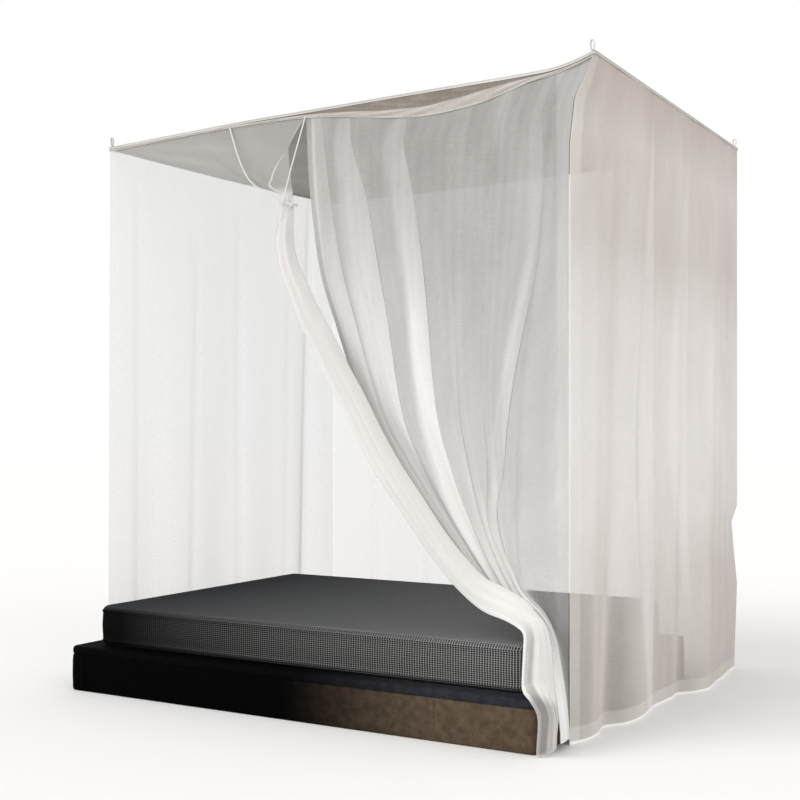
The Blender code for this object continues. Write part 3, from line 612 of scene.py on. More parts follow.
places, up, _, ripple = wall(
    foot_line, (NEAR_FOOT_SEAM, FAR_FOOT_SEAM), FOOT_BENDS, 300, 0, -1, FOOT_FOLDS)
places, share, doubled, down = turned_wall(places, up, FOOT_TURNS, 64, 0, -1)
at_run, ripple = share * NET_WIDTH, sample(ripple[..., None], down, share)[..., 0]
strip, turned = hem_marks(up, 2.38)
corner_band = 1 - step(at_run, 0.046, 0.052)
SHADE_AT = (0.0, 0.22, 0.32, 0.45, 0.62, 0.75, 0.90, 0.97, 1.0)
shade_up = np.interp(up, SHADE_AT, (0.33, 0.38, 0.47, 0.52, 0.46, 0.30, 0.36, 0.24, 0.18))
low_right = step(at_run, 0.8, 1.3) * (1 - step(up, 0.18, 0.36))
# Painted light: the fold ridges (ripple) are toned lighter than the cloth between them.
tone = shade_up + 9 * ripple + 0.09 * corner_band + 0.10 * strip + 0.60 * turned
tone = tone + doubled * (0.16 - 0.08 * step(share, 0.45, 0.55)) + 0.03 * uneven(2 * at_run, 4 * up, 1)
# Painted light: the first few millimetres at the near seam are toned lighter, lifting the shade where the
# wall turns there.
tone = tone - 0.06 * low_right + 0.15 * (1 - step(at_run, 0.003, 0.008))
density = 0.08 + 8 * np.maximum(ripple, 0) + 0.25 * strip + 0.6 * turned + 0.3 * corner_band
density = density + 0.65 * step(up, 0.66, 0.92) + 0.45 * low_right
foot_piece = cloth("foot_wall_cloth", places, (1, 0, 0), tone, density, foot_net)
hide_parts("foot_wall")

# %% [markdown]
# The far wall and the head wall are single layers against the light, the sheerest parts of the net.

# %% The far wall and the head wall
FAR_FOLDS = [(0.22, 0.25, 0.006, 0.03, 0, 0.9), (0.52, 0.50, 0.005, 0.03, 0, 0.8),
             (0.98, 1.00, 0.006, 0.035, 0, 0.9), (1.33, 1.38, 0.005, 0.03, 0, 0.7),
             (1.70, 1.66, 0.006, 0.03, 0, 0.95), (2.05, 2.02, 0.005, 0.03, 0, 0.8)]
HEAD_FOLDS = [(0.20, 0.18, 0.005, 0.03, 0, 0.9), (0.55, 0.60, 0.006, 0.03, 0, 0.8),
              (0.92, 0.90, 0.005, 0.03, 0, 0.9), (1.28, 1.32, 0.005, 0.03, 0, 0.8),
              (1.47, 1.50, 0.010, 0.030, 0, 1.0)]
for name, node_name, edge, seams, bends, columns, axis, sign, folds, flat in (
        ("far_wall_cloth", "far_wall", far_line, (FAR_FOOT_SEAM, FAR_HEAD_SEAM), FAR_BENDS, 300, 1, 1,
         FAR_FOLDS, (2.36, 2.38)),
        ("head_wall_cloth", "head_wall", head_line, (NEAR_HEAD_EDGE, FAR_HEAD_SEAM), HEAD_BENDS, 240, 0, 1,
         HEAD_FOLDS, (1.78, 2.37))):
    places, up, _, ripple = wall(edge, seams, bends, columns, axis, sign, folds)
    strip, turned = hem_marks(up, 2.36)
    # Painted light: the fold ridges (ripple) are toned lighter than the cloth between them.
    tone = 0.50 + 16 * ripple + 0.10 * strip + 0.3 * turned
    density = 0.03 + 12 * np.maximum(ripple, 0) + 0.20 * strip + 0.5 * turned
    outward = (-1, 0, 0) if axis == 0 else (0, 1, 0)
    piece = cloth(name, places, outward, tone, density, back_net)
    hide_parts(node_name)

# %% [markdown]
# ## The heading
# Along the near top edge the cloth is doubled into a heading: a flat strip, and below it a soft roll
# that is thickest where the heading sags. It is a profile that wraps round the roll, carried along the
# edge.

# %% The heading of the near side
HEADING = np.array([  # along, how far it hangs, how tall its roll is
    (-0.094, 0.020, 0.008), (0.044, 0.026, 0.013), (0.157, 0.036, 0.018), (0.250, 0.058, 0.034),
    (0.336, 0.078, 0.044), (0.450, 0.091, 0.045), (0.554, 0.097, 0.041), (0.692, 0.090, 0.035),
    (0.820, 0.073, 0.028), (0.996, 0.047, 0.020), (1.150, 0.031, 0.014), (1.420, 0.022, 0.010),
    (2.252, 0.020, 0.009)])
ROLL_OUT, HEADING_COLUMNS, HEADING_ROUND = 0.0055, 420, 33
along = np.linspace(HEADING[0, 0], HEADING[-1, 0], HEADING_COLUMNS)
drop = smooth(HEADING[:, 0], HEADING[:, 1], along)
roll = smooth(HEADING[:, 0], HEADING[:, 2], along)
top_at = near_top(along)
low_at = top_at - drop
around = np.linspace(0, 1, HEADING_ROUND)
PROFILE = [  # share round, out, share of the roll's height, share of the strip's height
    (0.00, -0.00075, 0.0, 1.0), (0.16, -0.00075, 0.0, 0.5), (0.30, -0.00075, 1.0, 0.0),
    (0.42, -0.50, 0.90, 0.0), (0.54, -1.0, 0.62, 0.0), (0.66, -1.0, 0.30, 0.0), (0.78, -0.45, 0.0, 0.0),
    (0.88, 0.10, 0.10, 0.0), (1.00, 0.14, 0.5, 0.0)]
share = np.array([row[0] for row in PROFILE])
out_at = np.array([row[1] if abs(row[1]) < 0.01 else row[1] * ROLL_OUT for row in PROFILE])
out_round = smooth(share, out_at, around)
roll_round = smooth(share, [row[2] for row in PROFILE], around)
strip_round = smooth(share, [row[3] for row in PROFILE], around)
twist = 1 + 0.16 * np.sin(34 * along[:, None] + 9 * roll_round[None] + 2 * np.sin(11 * along[:, None]))
stripe = strip_round[None] * (drop - roll - TOP_GAP)[:, None]
z = low_at[:, None] + roll_round[None] * roll[:, None] + stripe
z = np.where(strip_round[None] > 0.01, low_at[:, None] + roll[:, None] + stripe, z)
y = out_round[None] * np.where(np.abs(out_round[None]) > 0.001, twist, 1)
places = np.stack((np.broadcast_to(along[:, None], z.shape), y, z), axis=-1)
puffed = np.broadcast_to(step(around, 0.30, 0.45)[None], z.shape)
tone = 0.02 + 0.42 * puffed + 0.08 * np.sin(34 * along[:, None] + 9 * roll_round[None])
tone = tone + 0.25 * hump(around, 0.76, 0.05)[None]
heading_piece = cloth("heading_cloth", places, (0, -1, 0), tone, 0.55 + 0.3 * puffed, heading_net)
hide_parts("near_top_band")

# %% [markdown]
# ## The swept curtains
# Each near curtain is a smooth surface between its two edges, row by row from the heading to the
# hem, with the source's main folds standing out from it. The cloth is then read off that surface
# with its turned-over stretches, which are what shows on a real net: light bands with a crisp edge
# on one side, where the cloth turns, and a soft one on the other, where it turns back behind.

# %% The curtain maker
FOOT_RIDGES = [(0.060, 0.50), (0.225, 1.00), (0.425, 0.95), (0.590, 0.50), (0.750, 0.80), (0.900, 0.75),
               (0.975, 0.00)]
CORNER_FOLD = 0.935


def fold_wave(share, ridges):
    """Main folds: height of the nearest ridge times (1 - cos(2 pi phase)) / 2."""
    count = len(ridges)
    stops = np.zeros(2 * count + 1)
    stops[1::2] = [ridge[0] for ridge in ridges]
    stops[2:-1:2] = (stops[1:-2:2] + stops[3::2]) / 2
    stops[-1] = 1.0
    phase = np.interp(share, stops, np.arange(2 * count + 1) / 2)
    height = np.array([ridge[1] for ridge in ridges])[np.minimum(phase.astype(int), count - 1)]
    return height * (1 - np.cos(2 * np.pi * phase)) / 2


def pleat_wave(share, count, seed):
    """Small uneven pleats between 0 and 1, count of them across the cloth."""
    phase = count * share + 0.35 * np.sin(5.1 * share + seed) + 0.22 * np.sin(13.7 * share + 2 * seed)
    tall = 0.72 + 0.28 * np.sin(9.3 * share * count / 8 + 3 * seed)
    return tall * (1 - np.cos(2 * np.pi * phase)) / 2


def heading_low(at):
    """The lower side of the heading."""
    hang = smooth(HEADING[:, 0], HEADING[:, 1], np.ravel(at)).reshape(np.shape(at))
    return near_top(at) - hang


def under_heading(base, row_at):
    """Lets the top follow the heading's lower side, and fades that out by the fourth row."""
    below = heading_low(base[0, :, 0]) - 5 * GAP - base[0, :, 2]
    fade = np.interp(row_at, (0, 1, 2, 3, 4), (1.0, 0.75, 0.40, 0.10, 0.0))
    hung = base.copy()
    hung[..., 2] += fade[:, None] * below[None]
    return hung


def facing_of(base):
    """Unit normals of a grid of places, on the side toward the viewer of the near side."""
    facing = np.cross(np.gradient(base, axis=1), np.gradient(base, axis=0))
    return facing / np.linalg.norm(facing, axis=-1, keepdims=True)


# %% [markdown]
# The foot half hangs from the heading in long soft folds, is swept to the corner of the bed, climbs
# over it and falls to the floor. Six stretches of it are toned as turned over. Near the heading they
# lie flat, and on the way down they open into real layers, which lie close where the cloth is
# gathered over the corner. By the corner seam it is a flat single web, through which the bed shows.

# %% The foot half
FOOT_HALF = np.array([  # along, across, up, seam up, fold, corner, lift, pleats
    (1.153, 0.000, 2.330, 2.384, 0.006, 0.940, 0.000, 0.0006),
    (1.146, -0.001, 2.225, 2.250, 0.012, 0.940, 0.000, 0.0008),
    (1.137, -0.002, 2.090, 2.100, 0.018, 0.940, 0.000, 0.0010),
    (1.118, -0.002, 1.930, 1.920, 0.022, 0.925, 0.000, 0.0012),
    (1.080, 0.000, 1.710, 1.720, 0.026, 0.900, 0.000, 0.0014),
    (1.000, 0.000, 1.490, 1.500, 0.029, 0.860, 0.000, 0.0016),
    (0.925, 0.000, 1.300, 1.310, 0.031, 0.820, 0.000, 0.0018),
    (0.835, 0.000, 1.120, 1.120, 0.032, 0.780, 0.000, 0.0020),
    (0.712, 0.000, 0.958, 0.950, 0.033, 0.735, 0.000, 0.0022),
    (0.582, 0.000, 0.805, 0.800, 0.033, 0.660, 0.005, 0.0024),
    (0.445, -0.002, 0.652, 0.660, 0.030, 0.560, 0.015, 0.0026),
    (0.340, -0.004, 0.540, 0.545, 0.026, 0.450, 0.040, 0.0028),
    (0.262, -0.010, 0.468, 0.440, 0.021, 0.370, 0.070, 0.0030),
    (0.200, -0.026, 0.428, 0.360, 0.016, 0.360, 0.090, 0.0030),
    (0.140, -0.045, 0.405, 0.290, 0.010, 0.430, 0.100, 0.0030),
    (0.085, -0.066, 0.375, 0.225, 0.008, 0.560, 0.090, 0.0030),
    (0.048, -0.082, 0.310, 0.165, 0.009, 0.640, 0.070, 0.0030),
    (0.018, -0.094, 0.225, 0.120, 0.014, 0.740, 0.040, 0.0030),
    (-0.002, -0.100, 0.140, 0.085, 0.015, 0.820, 0.015, 0.0030),
    (-0.012, -0.102, 0.075, 0.052, 0.015, 0.860, 0.000, 0.0030),
    (-0.015, -0.103, 0.028, 0.026, 0.015, 0.880, 0.000, 0.0030)])
FOOT_EDGES = np.array([  # row, then the share at which each of the six stretches turns over
    (0.0, 0.062, 0.172, 0.385, 0.612, 0.752, 0.884), (1.0, 0.071, 0.185, 0.391, 0.625, 0.762, 0.889),
    (2.5, 0.088, 0.240, 0.430, 0.612, 0.762, 0.915), (4.1, 0.105, 0.272, 0.463, 0.600, 0.760, 0.927),
    (5.5, 0.105, 0.265, 0.460, 0.590, 0.740, 0.900), (8.1, 0.095, 0.210, 0.431, 0.560, 0.690, 0.806),
    (9.5, 0.090, 0.194, 0.409, 0.520, 0.600, 0.720), (11.0, 0.090, 0.200, 0.400, 0.530, 0.660, 0.800),
    (14.0, 0.110, 0.270, 0.430, 0.580, 0.730, 0.870), (20.0, 0.120, 0.280, 0.430, 0.580, 0.730, 0.870)])
FOOT_WIDTHS = np.array([  # row, then how wide each stretch is, as a share
    (0.0, 0.030, 0.045, 0.050, 0.030, 0.028, 0.030), (1.0, 0.058, 0.070, 0.076, 0.050, 0.040, 0.045),
    (2.5, 0.070, 0.110, 0.095, 0.015, 0.008, 0.050), (4.1, 0.075, 0.145, 0.088, 0.000, 0.000, 0.048),
    (5.5, 0.085, 0.150, 0.105, 0.000, 0.000, 0.066), (8.1, 0.090, 0.110, 0.150, 0.040, 0.020, 0.071),
    (9.5, 0.085, 0.100, 0.200, 0.080, 0.060, 0.090), (11.0, 0.085, 0.105, 0.190, 0.120, 0.110, 0.120),
    (14.0, 0.100, 0.150, 0.150, 0.140, 0.140, 0.130), (20.0, 0.110, 0.150, 0.140, 0.140, 0.140, 0.130)])
FOOT_SHOWN = np.array([  # row, then how light each stretch shows
    (0.0, 0.70, 0.80, 0.85, 0.35, 0.45, 0.30), (2.5, 0.85, 0.95, 0.90, 0.20, 0.20, 0.45),
    (5.5, 0.95, 0.90, 1.00, 0.10, 0.05, 0.45), (9.0, 1.00, 0.95, 1.00, 0.35, 0.30, 0.35),
    (12.0, 1.00, 1.00, 1.00, 0.70, 0.70, 0.70), (20.0, 0.80, 0.80, 0.80, 0.60, 0.60, 0.60)])
LAYER_GAP = 0.0011


def by_row(table, at):
    """A table's columns at rows between its own."""
    return smooth(table[:, 0], table[:, 1:], at)


ROWS, PER_LAYER = 240, 30
row_at = np.linspace(0, 20, ROWS)
table = smooth(np.arange(21), FOOT_HALF, row_at)
share = np.linspace(0, 1, 281)
seam = seam_at(NEAR_FOOT_SEAM, table[:, 3] / TOP_FOOT)
right = np.column_stack((seam[:, 0] + CLEAR, seam[:, 1], table[:, 3]))
spread = np.stack([np.interp(share, (0, CORNER_FOLD, 1), (0, place, 1)) for place in table[:, 5]])
base = table[:, None, :3] + (right - table[:, :3])[:, None] * spread[..., None]
base[..., 2] += table[:, 6, None] * np.minimum(share / CORNER_FOLD, (1 - share) / (1 - CORNER_FOLD))[None]
main = fold_wave(share, FOOT_RIDGES)[None]
web = 1 - step(share, 0.90, 0.96)[None]
small = pleat_wave(share, 26, 1.0)[None] * web
gather = step(row_at[:, None], 8, 13)
swell = 0.86 + 0.14 * uneven(3 * share[None], 0.35 * row_at[:, None], 5)
raised = 0.55 * table[:, 4, None] * main * swell
swell = 0.8 + 0.3 * uneven(6 * share[None], 0.25 * row_at[:, None], 4)
raised = raised + table[:, 7, None] * small * swell
raised = np.maximum(raised, 0) + 2 * LAYER_GAP * gather * web
facing = facing_of(base)
front = np.concatenate((under_heading(base, row_at) + facing * raised[..., None], facing), axis=-1)

edges, widths = by_row(FOOT_EDGES, row_at), np.maximum(by_row(FOOT_WIDTHS, row_at), 0)
free = step(row_at[:, None], 2.0, 8.0)
across, depth, phase = turned_over(edges, widths * free, PER_LAYER)
down = np.broadcast_to(np.linspace(0, 1, ROWS)[:, None], across.shape)
read = sample(front, down, across)
kept_flat = step(row_at[:, None], -0.5, 1.5) * (1 - step(across, 0.95, 0.99))
places = read[..., :3] - read[..., 3:] * (2 * LAYER_GAP * depth * kept_flat)[..., None]

doubled = doubled_light(across, phase, edges, widths, np.clip(by_row(FOOT_SHOWN, row_at), 0, 1))
web = 1 - step(across, 0.90, 0.96)
seam_strip = step(-sample(base, down, across)[..., 0], -0.052, -0.044)
hem_edge = hump(across, 0.027, 0.006) * (phase[None] < 1) * (1 - step(row_at[:, None], 7, 9))
small = np.interp(across, share, pleat_wave(share, 26, 1.0))
low = np.clip((2.2 - places[..., 2]) / 1.5, 0, 1)
# Painted light: the small pleats' crests are toned a little lighter than their hollows.
tone = 0.15 + 0.30 * low + doubled * (0.13 + 0.30 * step(low, 0.10, 0.60)) + 0.04 * (small - 0.4)
tone = tone + 0.12 * gather * web + 0.10 * seam_strip * (1 - doubled) + 0.20 * hem_edge
tone = tone + 0.04 * uneven(5 * across, 0.5 * row_at[:, None], 9)
tone = tone - 0.25 * (1 - web) * step(row_at[:, None], 8.5, 11)
density = 0.86 + 0.10 * doubled + 0.10 * gather * web + 0.1 * seam_strip + 0.2 * hem_edge
density = density - 0.86 * (1 - web) * step(row_at[:, None], 8.5, 11)
foot_half = cloth("near_curtain_foot_cloth", places, (0, -1, 0), tone, density, near_net)
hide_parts("near_curtain_foot")

# %% [markdown]
# The head half slants down to the tie, and from the tie it falls as a bunch. Its cloth goes back and
# forth there in ten nested layers, so close that the net looks almost solid white. Over the corner
# of the bed the last layer stands out alone as a sheer strip with its hem, and most layers end there
# in soft lobes: their hem is cut higher. The rest go on to the floor.

# %% The head half
HEAD_HALF = np.array([  # along, across, up, along 2, across 2, up 2, fold, bulge, pleats
    (2.235, 0.000, 2.329, 1.160, 0.000, 2.330, 0.006, 0.000, 0.002),
    (1.920, 0.000, 2.230, 1.172, 0.000, 2.208, 0.010, 0.000, 0.005),
    (1.600, 0.000, 2.132, 1.188, 0.000, 2.086, 0.014, 0.002, 0.010),
    (1.300, 0.000, 2.045, 1.208, 0.000, 2.035, 0.012, 0.004, 0.008),
    (1.286, -0.001, 2.008, 1.203, -0.001, 1.994, 0.012, 0.005, 0.006),
    (1.284, -0.003, 1.960, 1.199, -0.003, 1.945, 0.014, 0.007, 0.009),
    (1.287, -0.006, 1.899, 1.194, -0.006, 1.888, 0.018, 0.010, 0.016),
    (1.283, -0.010, 1.826, 1.182, -0.010, 1.822, 0.021, 0.013, 0.018),
    (1.250, -0.018, 1.714, 1.148, -0.018, 1.740, 0.024, 0.016, 0.020),
    (1.198, -0.026, 1.611, 1.094, -0.026, 1.660, 0.026, 0.018, 0.020),
    (1.137, -0.034, 1.496, 1.029, -0.034, 1.558, 0.027, 0.020, 0.020),
    (1.073, -0.040, 1.399, 0.963, -0.040, 1.466, 0.027, 0.020, 0.020),
    (1.001, -0.045, 1.280, 0.889, -0.045, 1.351, 0.027, 0.020, 0.020),
    (0.922, -0.048, 1.159, 0.809, -0.048, 1.231, 0.027, 0.020, 0.020),
    (0.836, -0.050, 1.018, 0.725, -0.050, 1.092, 0.027, 0.020, 0.020),
    (0.743, -0.052, 0.887, 0.639, -0.052, 0.968, 0.026, 0.020, 0.020),
    (0.638, -0.054, 0.764, 0.541, -0.054, 0.846, 0.025, 0.020, 0.020),
    (0.536, -0.056, 0.643, 0.446, -0.054, 0.725, 0.024, 0.018, 0.020),
    (0.443, -0.062, 0.547, 0.360, -0.052, 0.632, 0.022, 0.016, 0.018),
    (0.356, -0.074, 0.483, 0.290, -0.050, 0.572, 0.020, 0.014, 0.017),
    (0.279, -0.094, 0.448, 0.215, -0.048, 0.540, 0.018, 0.013, 0.016),
    (0.187, -0.122, 0.430, 0.135, -0.052, 0.497, 0.017, 0.013, 0.015),
    (0.133, -0.134, 0.411, 0.085, -0.070, 0.456, 0.016, 0.014, 0.014),
    (0.104, -0.147, 0.392, 0.040, -0.085, 0.413, 0.015, 0.015, 0.014),
    (0.100, -0.153, 0.345, 0.013, -0.100, 0.355, 0.014, 0.016, 0.013),
    (0.099, -0.160, 0.275, -0.004, -0.113, 0.300, 0.014, 0.017, 0.013),
    (0.093, -0.174, 0.222, -0.011, -0.122, 0.245, 0.014, 0.018, 0.012),
    (0.074, -0.200, 0.200, -0.014, -0.129, 0.200, 0.013, 0.019, 0.012),
    (0.045, -0.212, 0.176, -0.016, -0.132, 0.160, 0.012, 0.020, 0.011),
    (0.022, -0.213, 0.142, -0.016, -0.132, 0.122, 0.012, 0.018, 0.010),
    (0.018, -0.211, 0.100, -0.015, -0.131, 0.090, 0.011, 0.014, 0.009),
    (0.022, -0.209, 0.050, -0.013, -0.129, 0.056, 0.011, 0.012, 0.008),
    (0.025, -0.208, 0.000, -0.011, -0.128, 0.024, 0.011, 0.012, 0.008)])
LAYERS, LAST_ROW, LOBE_ROW, LONG_FROM = 10, 32, 27.4, 7.6
HEAD_ROWS, HEAD_COLUMNS = 480, 121
row_at = np.linspace(0, LAST_ROW, HEAD_ROWS)
table = smooth(np.arange(LAST_ROW + 1), HEAD_HALF, row_at)
share = np.linspace(0, 1, HEAD_COLUMNS)
base = table[:, None, :3] + (table[:, 3:6] - table[:, :3])[:, None] * share[None, :, None]
thick = 0.45 * table[:, 6] + 0.80 * table[:, 7] + 0.85 * table[:, 8]
round_front = np.sin(np.pi * share) ** 0.62
creases = 1 + 0.09 * np.sin(19 * share[None] + 1.2 * np.sin(0.31 * row_at[:, None]) + 0.1 * row_at[:, None])
creases = creases + 0.05 * np.sin(41 * share[None] + 1.5 * np.sin(0.23 * row_at[:, None] + 1))
fine_from = step(row_at[:, None], 14, 22)
creases = creases + (0.02 + 0.05 * fine_from) * np.sin(73 * share[None] + 2 * np.sin(0.4 * row_at[:, None]))
proud = thick[:, None] * round_front[None] * creases
facing = facing_of(base)
spare = np.broadcast_to(0.44 * table[:, 7, None], proud.shape)
front = np.concatenate((under_heading(base, row_at), facing, proud[..., None], spare[..., None]), axis=-1)

phase = np.linspace(0, LAYERS, 18 * LAYERS + 1)
end_row = LOBE_ROW + 0.55 * np.sin(2.1 * phase)
end_row = end_row + (LAST_ROW - LOBE_ROW) * step(phase, LONG_FROM, LONG_FROM + 0.3)
end_row = np.minimum(end_row, LAST_ROW)
down = np.linspace(0, 1, HEAD_ROWS)[:, None] * end_row[None] / LAST_ROW
row_here = down * LAST_ROW
gathered = np.interp(row_here, (0.0, 1.0, 2.0, 3.0, 4.0), (0.0, 0.10, 0.34, 0.78, 1.0))
over_corner = step(row_here, 21.5, 24.0)
layer = np.arange(LAYERS + 1)
left_end = layer % 2 == 0
nested = np.where(left_end, 0.020 * (LAYERS - layer), 1 - 0.020 * (LAYERS - layer))
at_corner = np.where(left_end & (layer < LAYERS), 0.33 + 0.012 * (LAYERS - layer), nested)
flat_share = phase[None] / LAYERS
folded = between(nested[None], phase) * (1 - over_corner) + between(at_corner[None], phase) * over_corner
across = eased((1 - gathered) * flat_share + gathered * folded, 3)
depth = 1 - flat_share
read = sample(front, down, across)
out = read[..., 6] * (1 - 0.80 * depth) * (0.15 + 0.85 * gathered) + read[..., 7] * (1 - depth) * gathered
places = read[..., :3] + read[..., 3:6] * out[..., None]

hung = 1 - step(row_here, 2.2, 3.2)
last_layer = step(phase[None], LAYERS - 1.05, LAYERS - 0.95) * over_corner
strip_alone = last_layer * (1 - step(across, 0.30, 0.36))
hem_line = step(phase[None], LAYERS - 0.075, LAYERS - 0.055) * step(row_here, 0.0, 0.5)
stitches = 0.5 + 0.5 * np.sign(np.sin(2 * np.pi * row_here * 5.0))
# Painted shade: the bunch's side toward the foot (across past 0.62) is toned darker, away from the light.
tone = 0.74 - 0.64 * hung - 0.12 * step(across, 0.62, 1.0) * (1 - hung)
tone = tone - 0.18 * (1 - step(row_here, 5, 15)) * (1 - hung)
tone = tone - 0.24 * strip_alone - 0.35 * step(row_here, 27.2, 28.4)
tone = tone + hem_line * (0.35 * hung + over_corner * (0.15 + 0.12 * stitches))
tone = tone + 0.02 * uneven(8 * across, 0.3 * row_here, 3)
density = 0.70 - 0.65 * hung - 0.50 * strip_alone - 0.50 * step(row_here, 27.2, 28.4) + 0.6 * hem_line
head_half = cloth("near_curtain_head_cloth", places, (0, -1, 0), tone, density, bunch_net)
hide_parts("near_curtain_head")

# %% [markdown]
# ## Tapes and loops
# The tie, its tapes and the corner loops are plain cotton tape, right as the source has them. They
# get a tape's close weave: fine ribs of one wave pattern, mottled by noise, on the object's own
# coordinates.

# %% Tape
tape, tree, shader = new_material("cotton_tape", 0.8, 0.2)
coordinates = node(tree, "ShaderNodeTexCoord").outputs["Object"]
ribs = node(tree, "ShaderNodeTexWave", {"Vector": coordinates, "Scale": 240.0, "Distortion": 1.5},
            bands_direction="Z")
mottle = node(tree, "ShaderNodeTexNoise", {"Vector": coordinates, "Scale": 90.0})
weight = maths(tree, "MULTIPLY", ribs.outputs["Fac"], mottle.outputs["Fac"])
colour = blended(tree, weight, (0.62, 0.60, 0.58), (0.88, 0.86, 0.84))
tree.links.new(colour, shader.inputs["Base Color"])
bumped(tree, shader, weight, 0.5, 0.0004)
TAPES = ["tie_tape_middle", "tie_tape_head", "tie_band", "tie_tail", "corner_loop_near_foot",
         "corner_loop_far_foot", "corner_loop_near_head", "corner_loop_far_head"]
for name in TAPES:
    nodes[name].data.materials.clear()
    nodes[name].data.materials.append(tape)
print("taped:", len(TAPES))

# %% [markdown]
# ## The bed
# The platform is a low upholstered box, a little askew below the net, and the mattress sits inside
# its rim. Both are a side profile carried round a rectangle with rounded corners, closed above and
# below by rings that shrink to the middle. A seam is a narrow dent at its own place along the side.

# %% The bed's outline
BED_TURN = np.radians(3.0)
BASE_LENGTH, BASE_WIDTH, BASE_HEIGHT = 2.15, 1.585, 0.184
BASE_CORNER, MATTRESS_INSET, MATTRESS_HEIGHT = (0.023, -0.196), 0.080, 0.166
toward_head = np.array((np.cos(BED_TURN), -np.sin(BED_TURN)))
toward_far = np.array((np.sin(BED_TURN), np.cos(BED_TURN)))
bed_middle = np.array(BASE_CORNER) + toward_head * BASE_LENGTH / 2 + toward_far * BASE_WIDTH / 2
CAPS = (0.97, 0.90, 0.75, 0.50, 0.25)


def rounded_rectangle(length, width, radius, at):
    """Points at distances round a rectangle with rounded corners, and the outward way there."""
    straight = np.array([width - 2 * radius, length - 2 * radius] * 2)
    arc = np.pi / 2 * radius
    points, ways = np.zeros((len(at), 2)), np.zeros((len(at), 2))
    start, corner = 0.0, np.array((length / 2, -width / 2 + radius))
    ahead = np.array((0.0, 1.0))
    for side in range(4):
        out_way = np.array((ahead[1], -ahead[0]))
        on = (at >= start) & (at <= start + straight[side])
        points[on] = corner + ahead * (at[on] - start)[:, None]
        ways[on] = out_way
        start, corner = start + straight[side], corner + ahead * straight[side]
        on = (at > start) & (at < start + arc)
        angle = ((at[on] - start) / radius)[:, None]
        ways[on] = out_way * np.cos(angle) + ahead * np.sin(angle)
        points[on] = corner - out_way * radius + ways[on] * radius
        start, corner = start + arc, corner - out_way * radius + ahead * radius
        ahead = -out_way
    return points, ways


def round_length(length, width, radius):
    """2 (length + width) - 8 radius + 2 pi radius."""
    return 2 * (length + width) - 8 * radius + 2 * np.pi * radius


def upholstered(name, length, width, radius, profile, at, swell, look):
    """Carries (inset, up) pairs round the outline. swell(at, up) moves a point out there."""
    points, ways = rounded_rectangle(length, width, radius, at)
    inset, up = np.array(profile).T
    moved_in = inset[:, None] - swell(at[None], up[:, None])
    rings = points[None] - ways[None] * moved_in[..., None]
    shrink = np.array(CAPS)[:, None, None]
    rings = np.concatenate((rings[:1] * shrink[::-1], rings, rings[-1:] * shrink))
    heights = np.concatenate((np.full(len(CAPS), up[0]), up, np.full(len(CAPS), up[-1])))
    bed = bed_middle + toward_head * rings[..., :1] + toward_far * rings[..., 1:]
    high = np.broadcast_to(heights[:, None, None], rings.shape[:2] + (1,))
    places = np.concatenate((bed, high), axis=-1).reshape(-1, 3)
    middles = np.array([(*bed_middle, up[0]), (*bed_middle, up[-1])])
    round_count, total = len(at), len(places)
    ring = np.arange(round_count)
    low_cap = np.column_stack((ring, np.roll(ring, -1), np.full(round_count, total)))
    top_ring = ring + total - round_count
    high_cap = np.column_stack((np.roll(top_ring, -1), top_ring, np.full(round_count, total + 1)))
    quads = grid_faces(len(heights), round_count, closed=True)[:, ::-1]
    faces = [*quads.tolist(), *low_cap.tolist(), *high_cap.tolist()]
    made = add_mesh(name, to_world(np.concatenate((places, middles))), faces, look)
    mesh = made.data
    corners = np.array([made.data.vertices[k].co for k in mesh.polygons[len(quads) // 2].vertices])
    normal = np.cross(corners[1] - corners[0], corners[2] - corners[1])
    outward = corners.mean(axis=0) - to_world(np.array((*bed_middle, corners[0, 2])))
    if np.dot(normal[:2], outward[:2]) < 0:
        mesh.flip_normals()
    print(f"{name}: {2 * len(quads) + 2 * round_count} triangles")
    return made


print("bed turned by", round(float(np.degrees(BED_TURN)), 1), "degrees")

# %% [markdown]
# The platform's leather is nearly black. Toward the foot it goes brown: light and a sheen from the foot
# side are painted into its colour, on the rim strip too. Its grain is a fine net of cracks: the
# distance to the nearest cell wall of a Voronoi pattern. The rim round the top is a separate strip,
# cooler and darker, and it is told apart by its height.

# %% Leather
grain, come_in, go_out = new_group(
    "leather_grain", [("Place", "NodeSocketVector", None), ("Cells", "NodeSocketFloat", 260.0)],
    [("Cracks", "NodeSocketFloat"), ("Mottle", "NodeSocketFloat")])
cells = node(grain, "ShaderNodeTexVoronoi", {"Vector": come_in.outputs["Place"],
                                             "Scale": come_in.outputs["Cells"]},
             feature="DISTANCE_TO_EDGE")
cracks = node(grain, "ShaderNodeMapRange", {"Value": cells.outputs["Distance"], "From Max": 0.12})
mottle = node(grain, "ShaderNodeTexNoise", {"Vector": come_in.outputs["Place"], "Scale": 34.0,
                                            "Detail": 5.0})
grain.links.new(cracks.outputs[0], go_out.inputs["Cracks"])
grain.links.new(mottle.outputs["Fac"], go_out.inputs["Mottle"])

leather, tree, shader = new_material("platform_leather", 0.5, 0.02)
coordinates = node(tree, "ShaderNodeTexCoord").outputs["Object"]
hide = node(tree, "ShaderNodeGroup", {"Place": coordinates}, node_tree=grain)
apart = node(tree, "ShaderNodeSeparateXYZ", {0: coordinates})
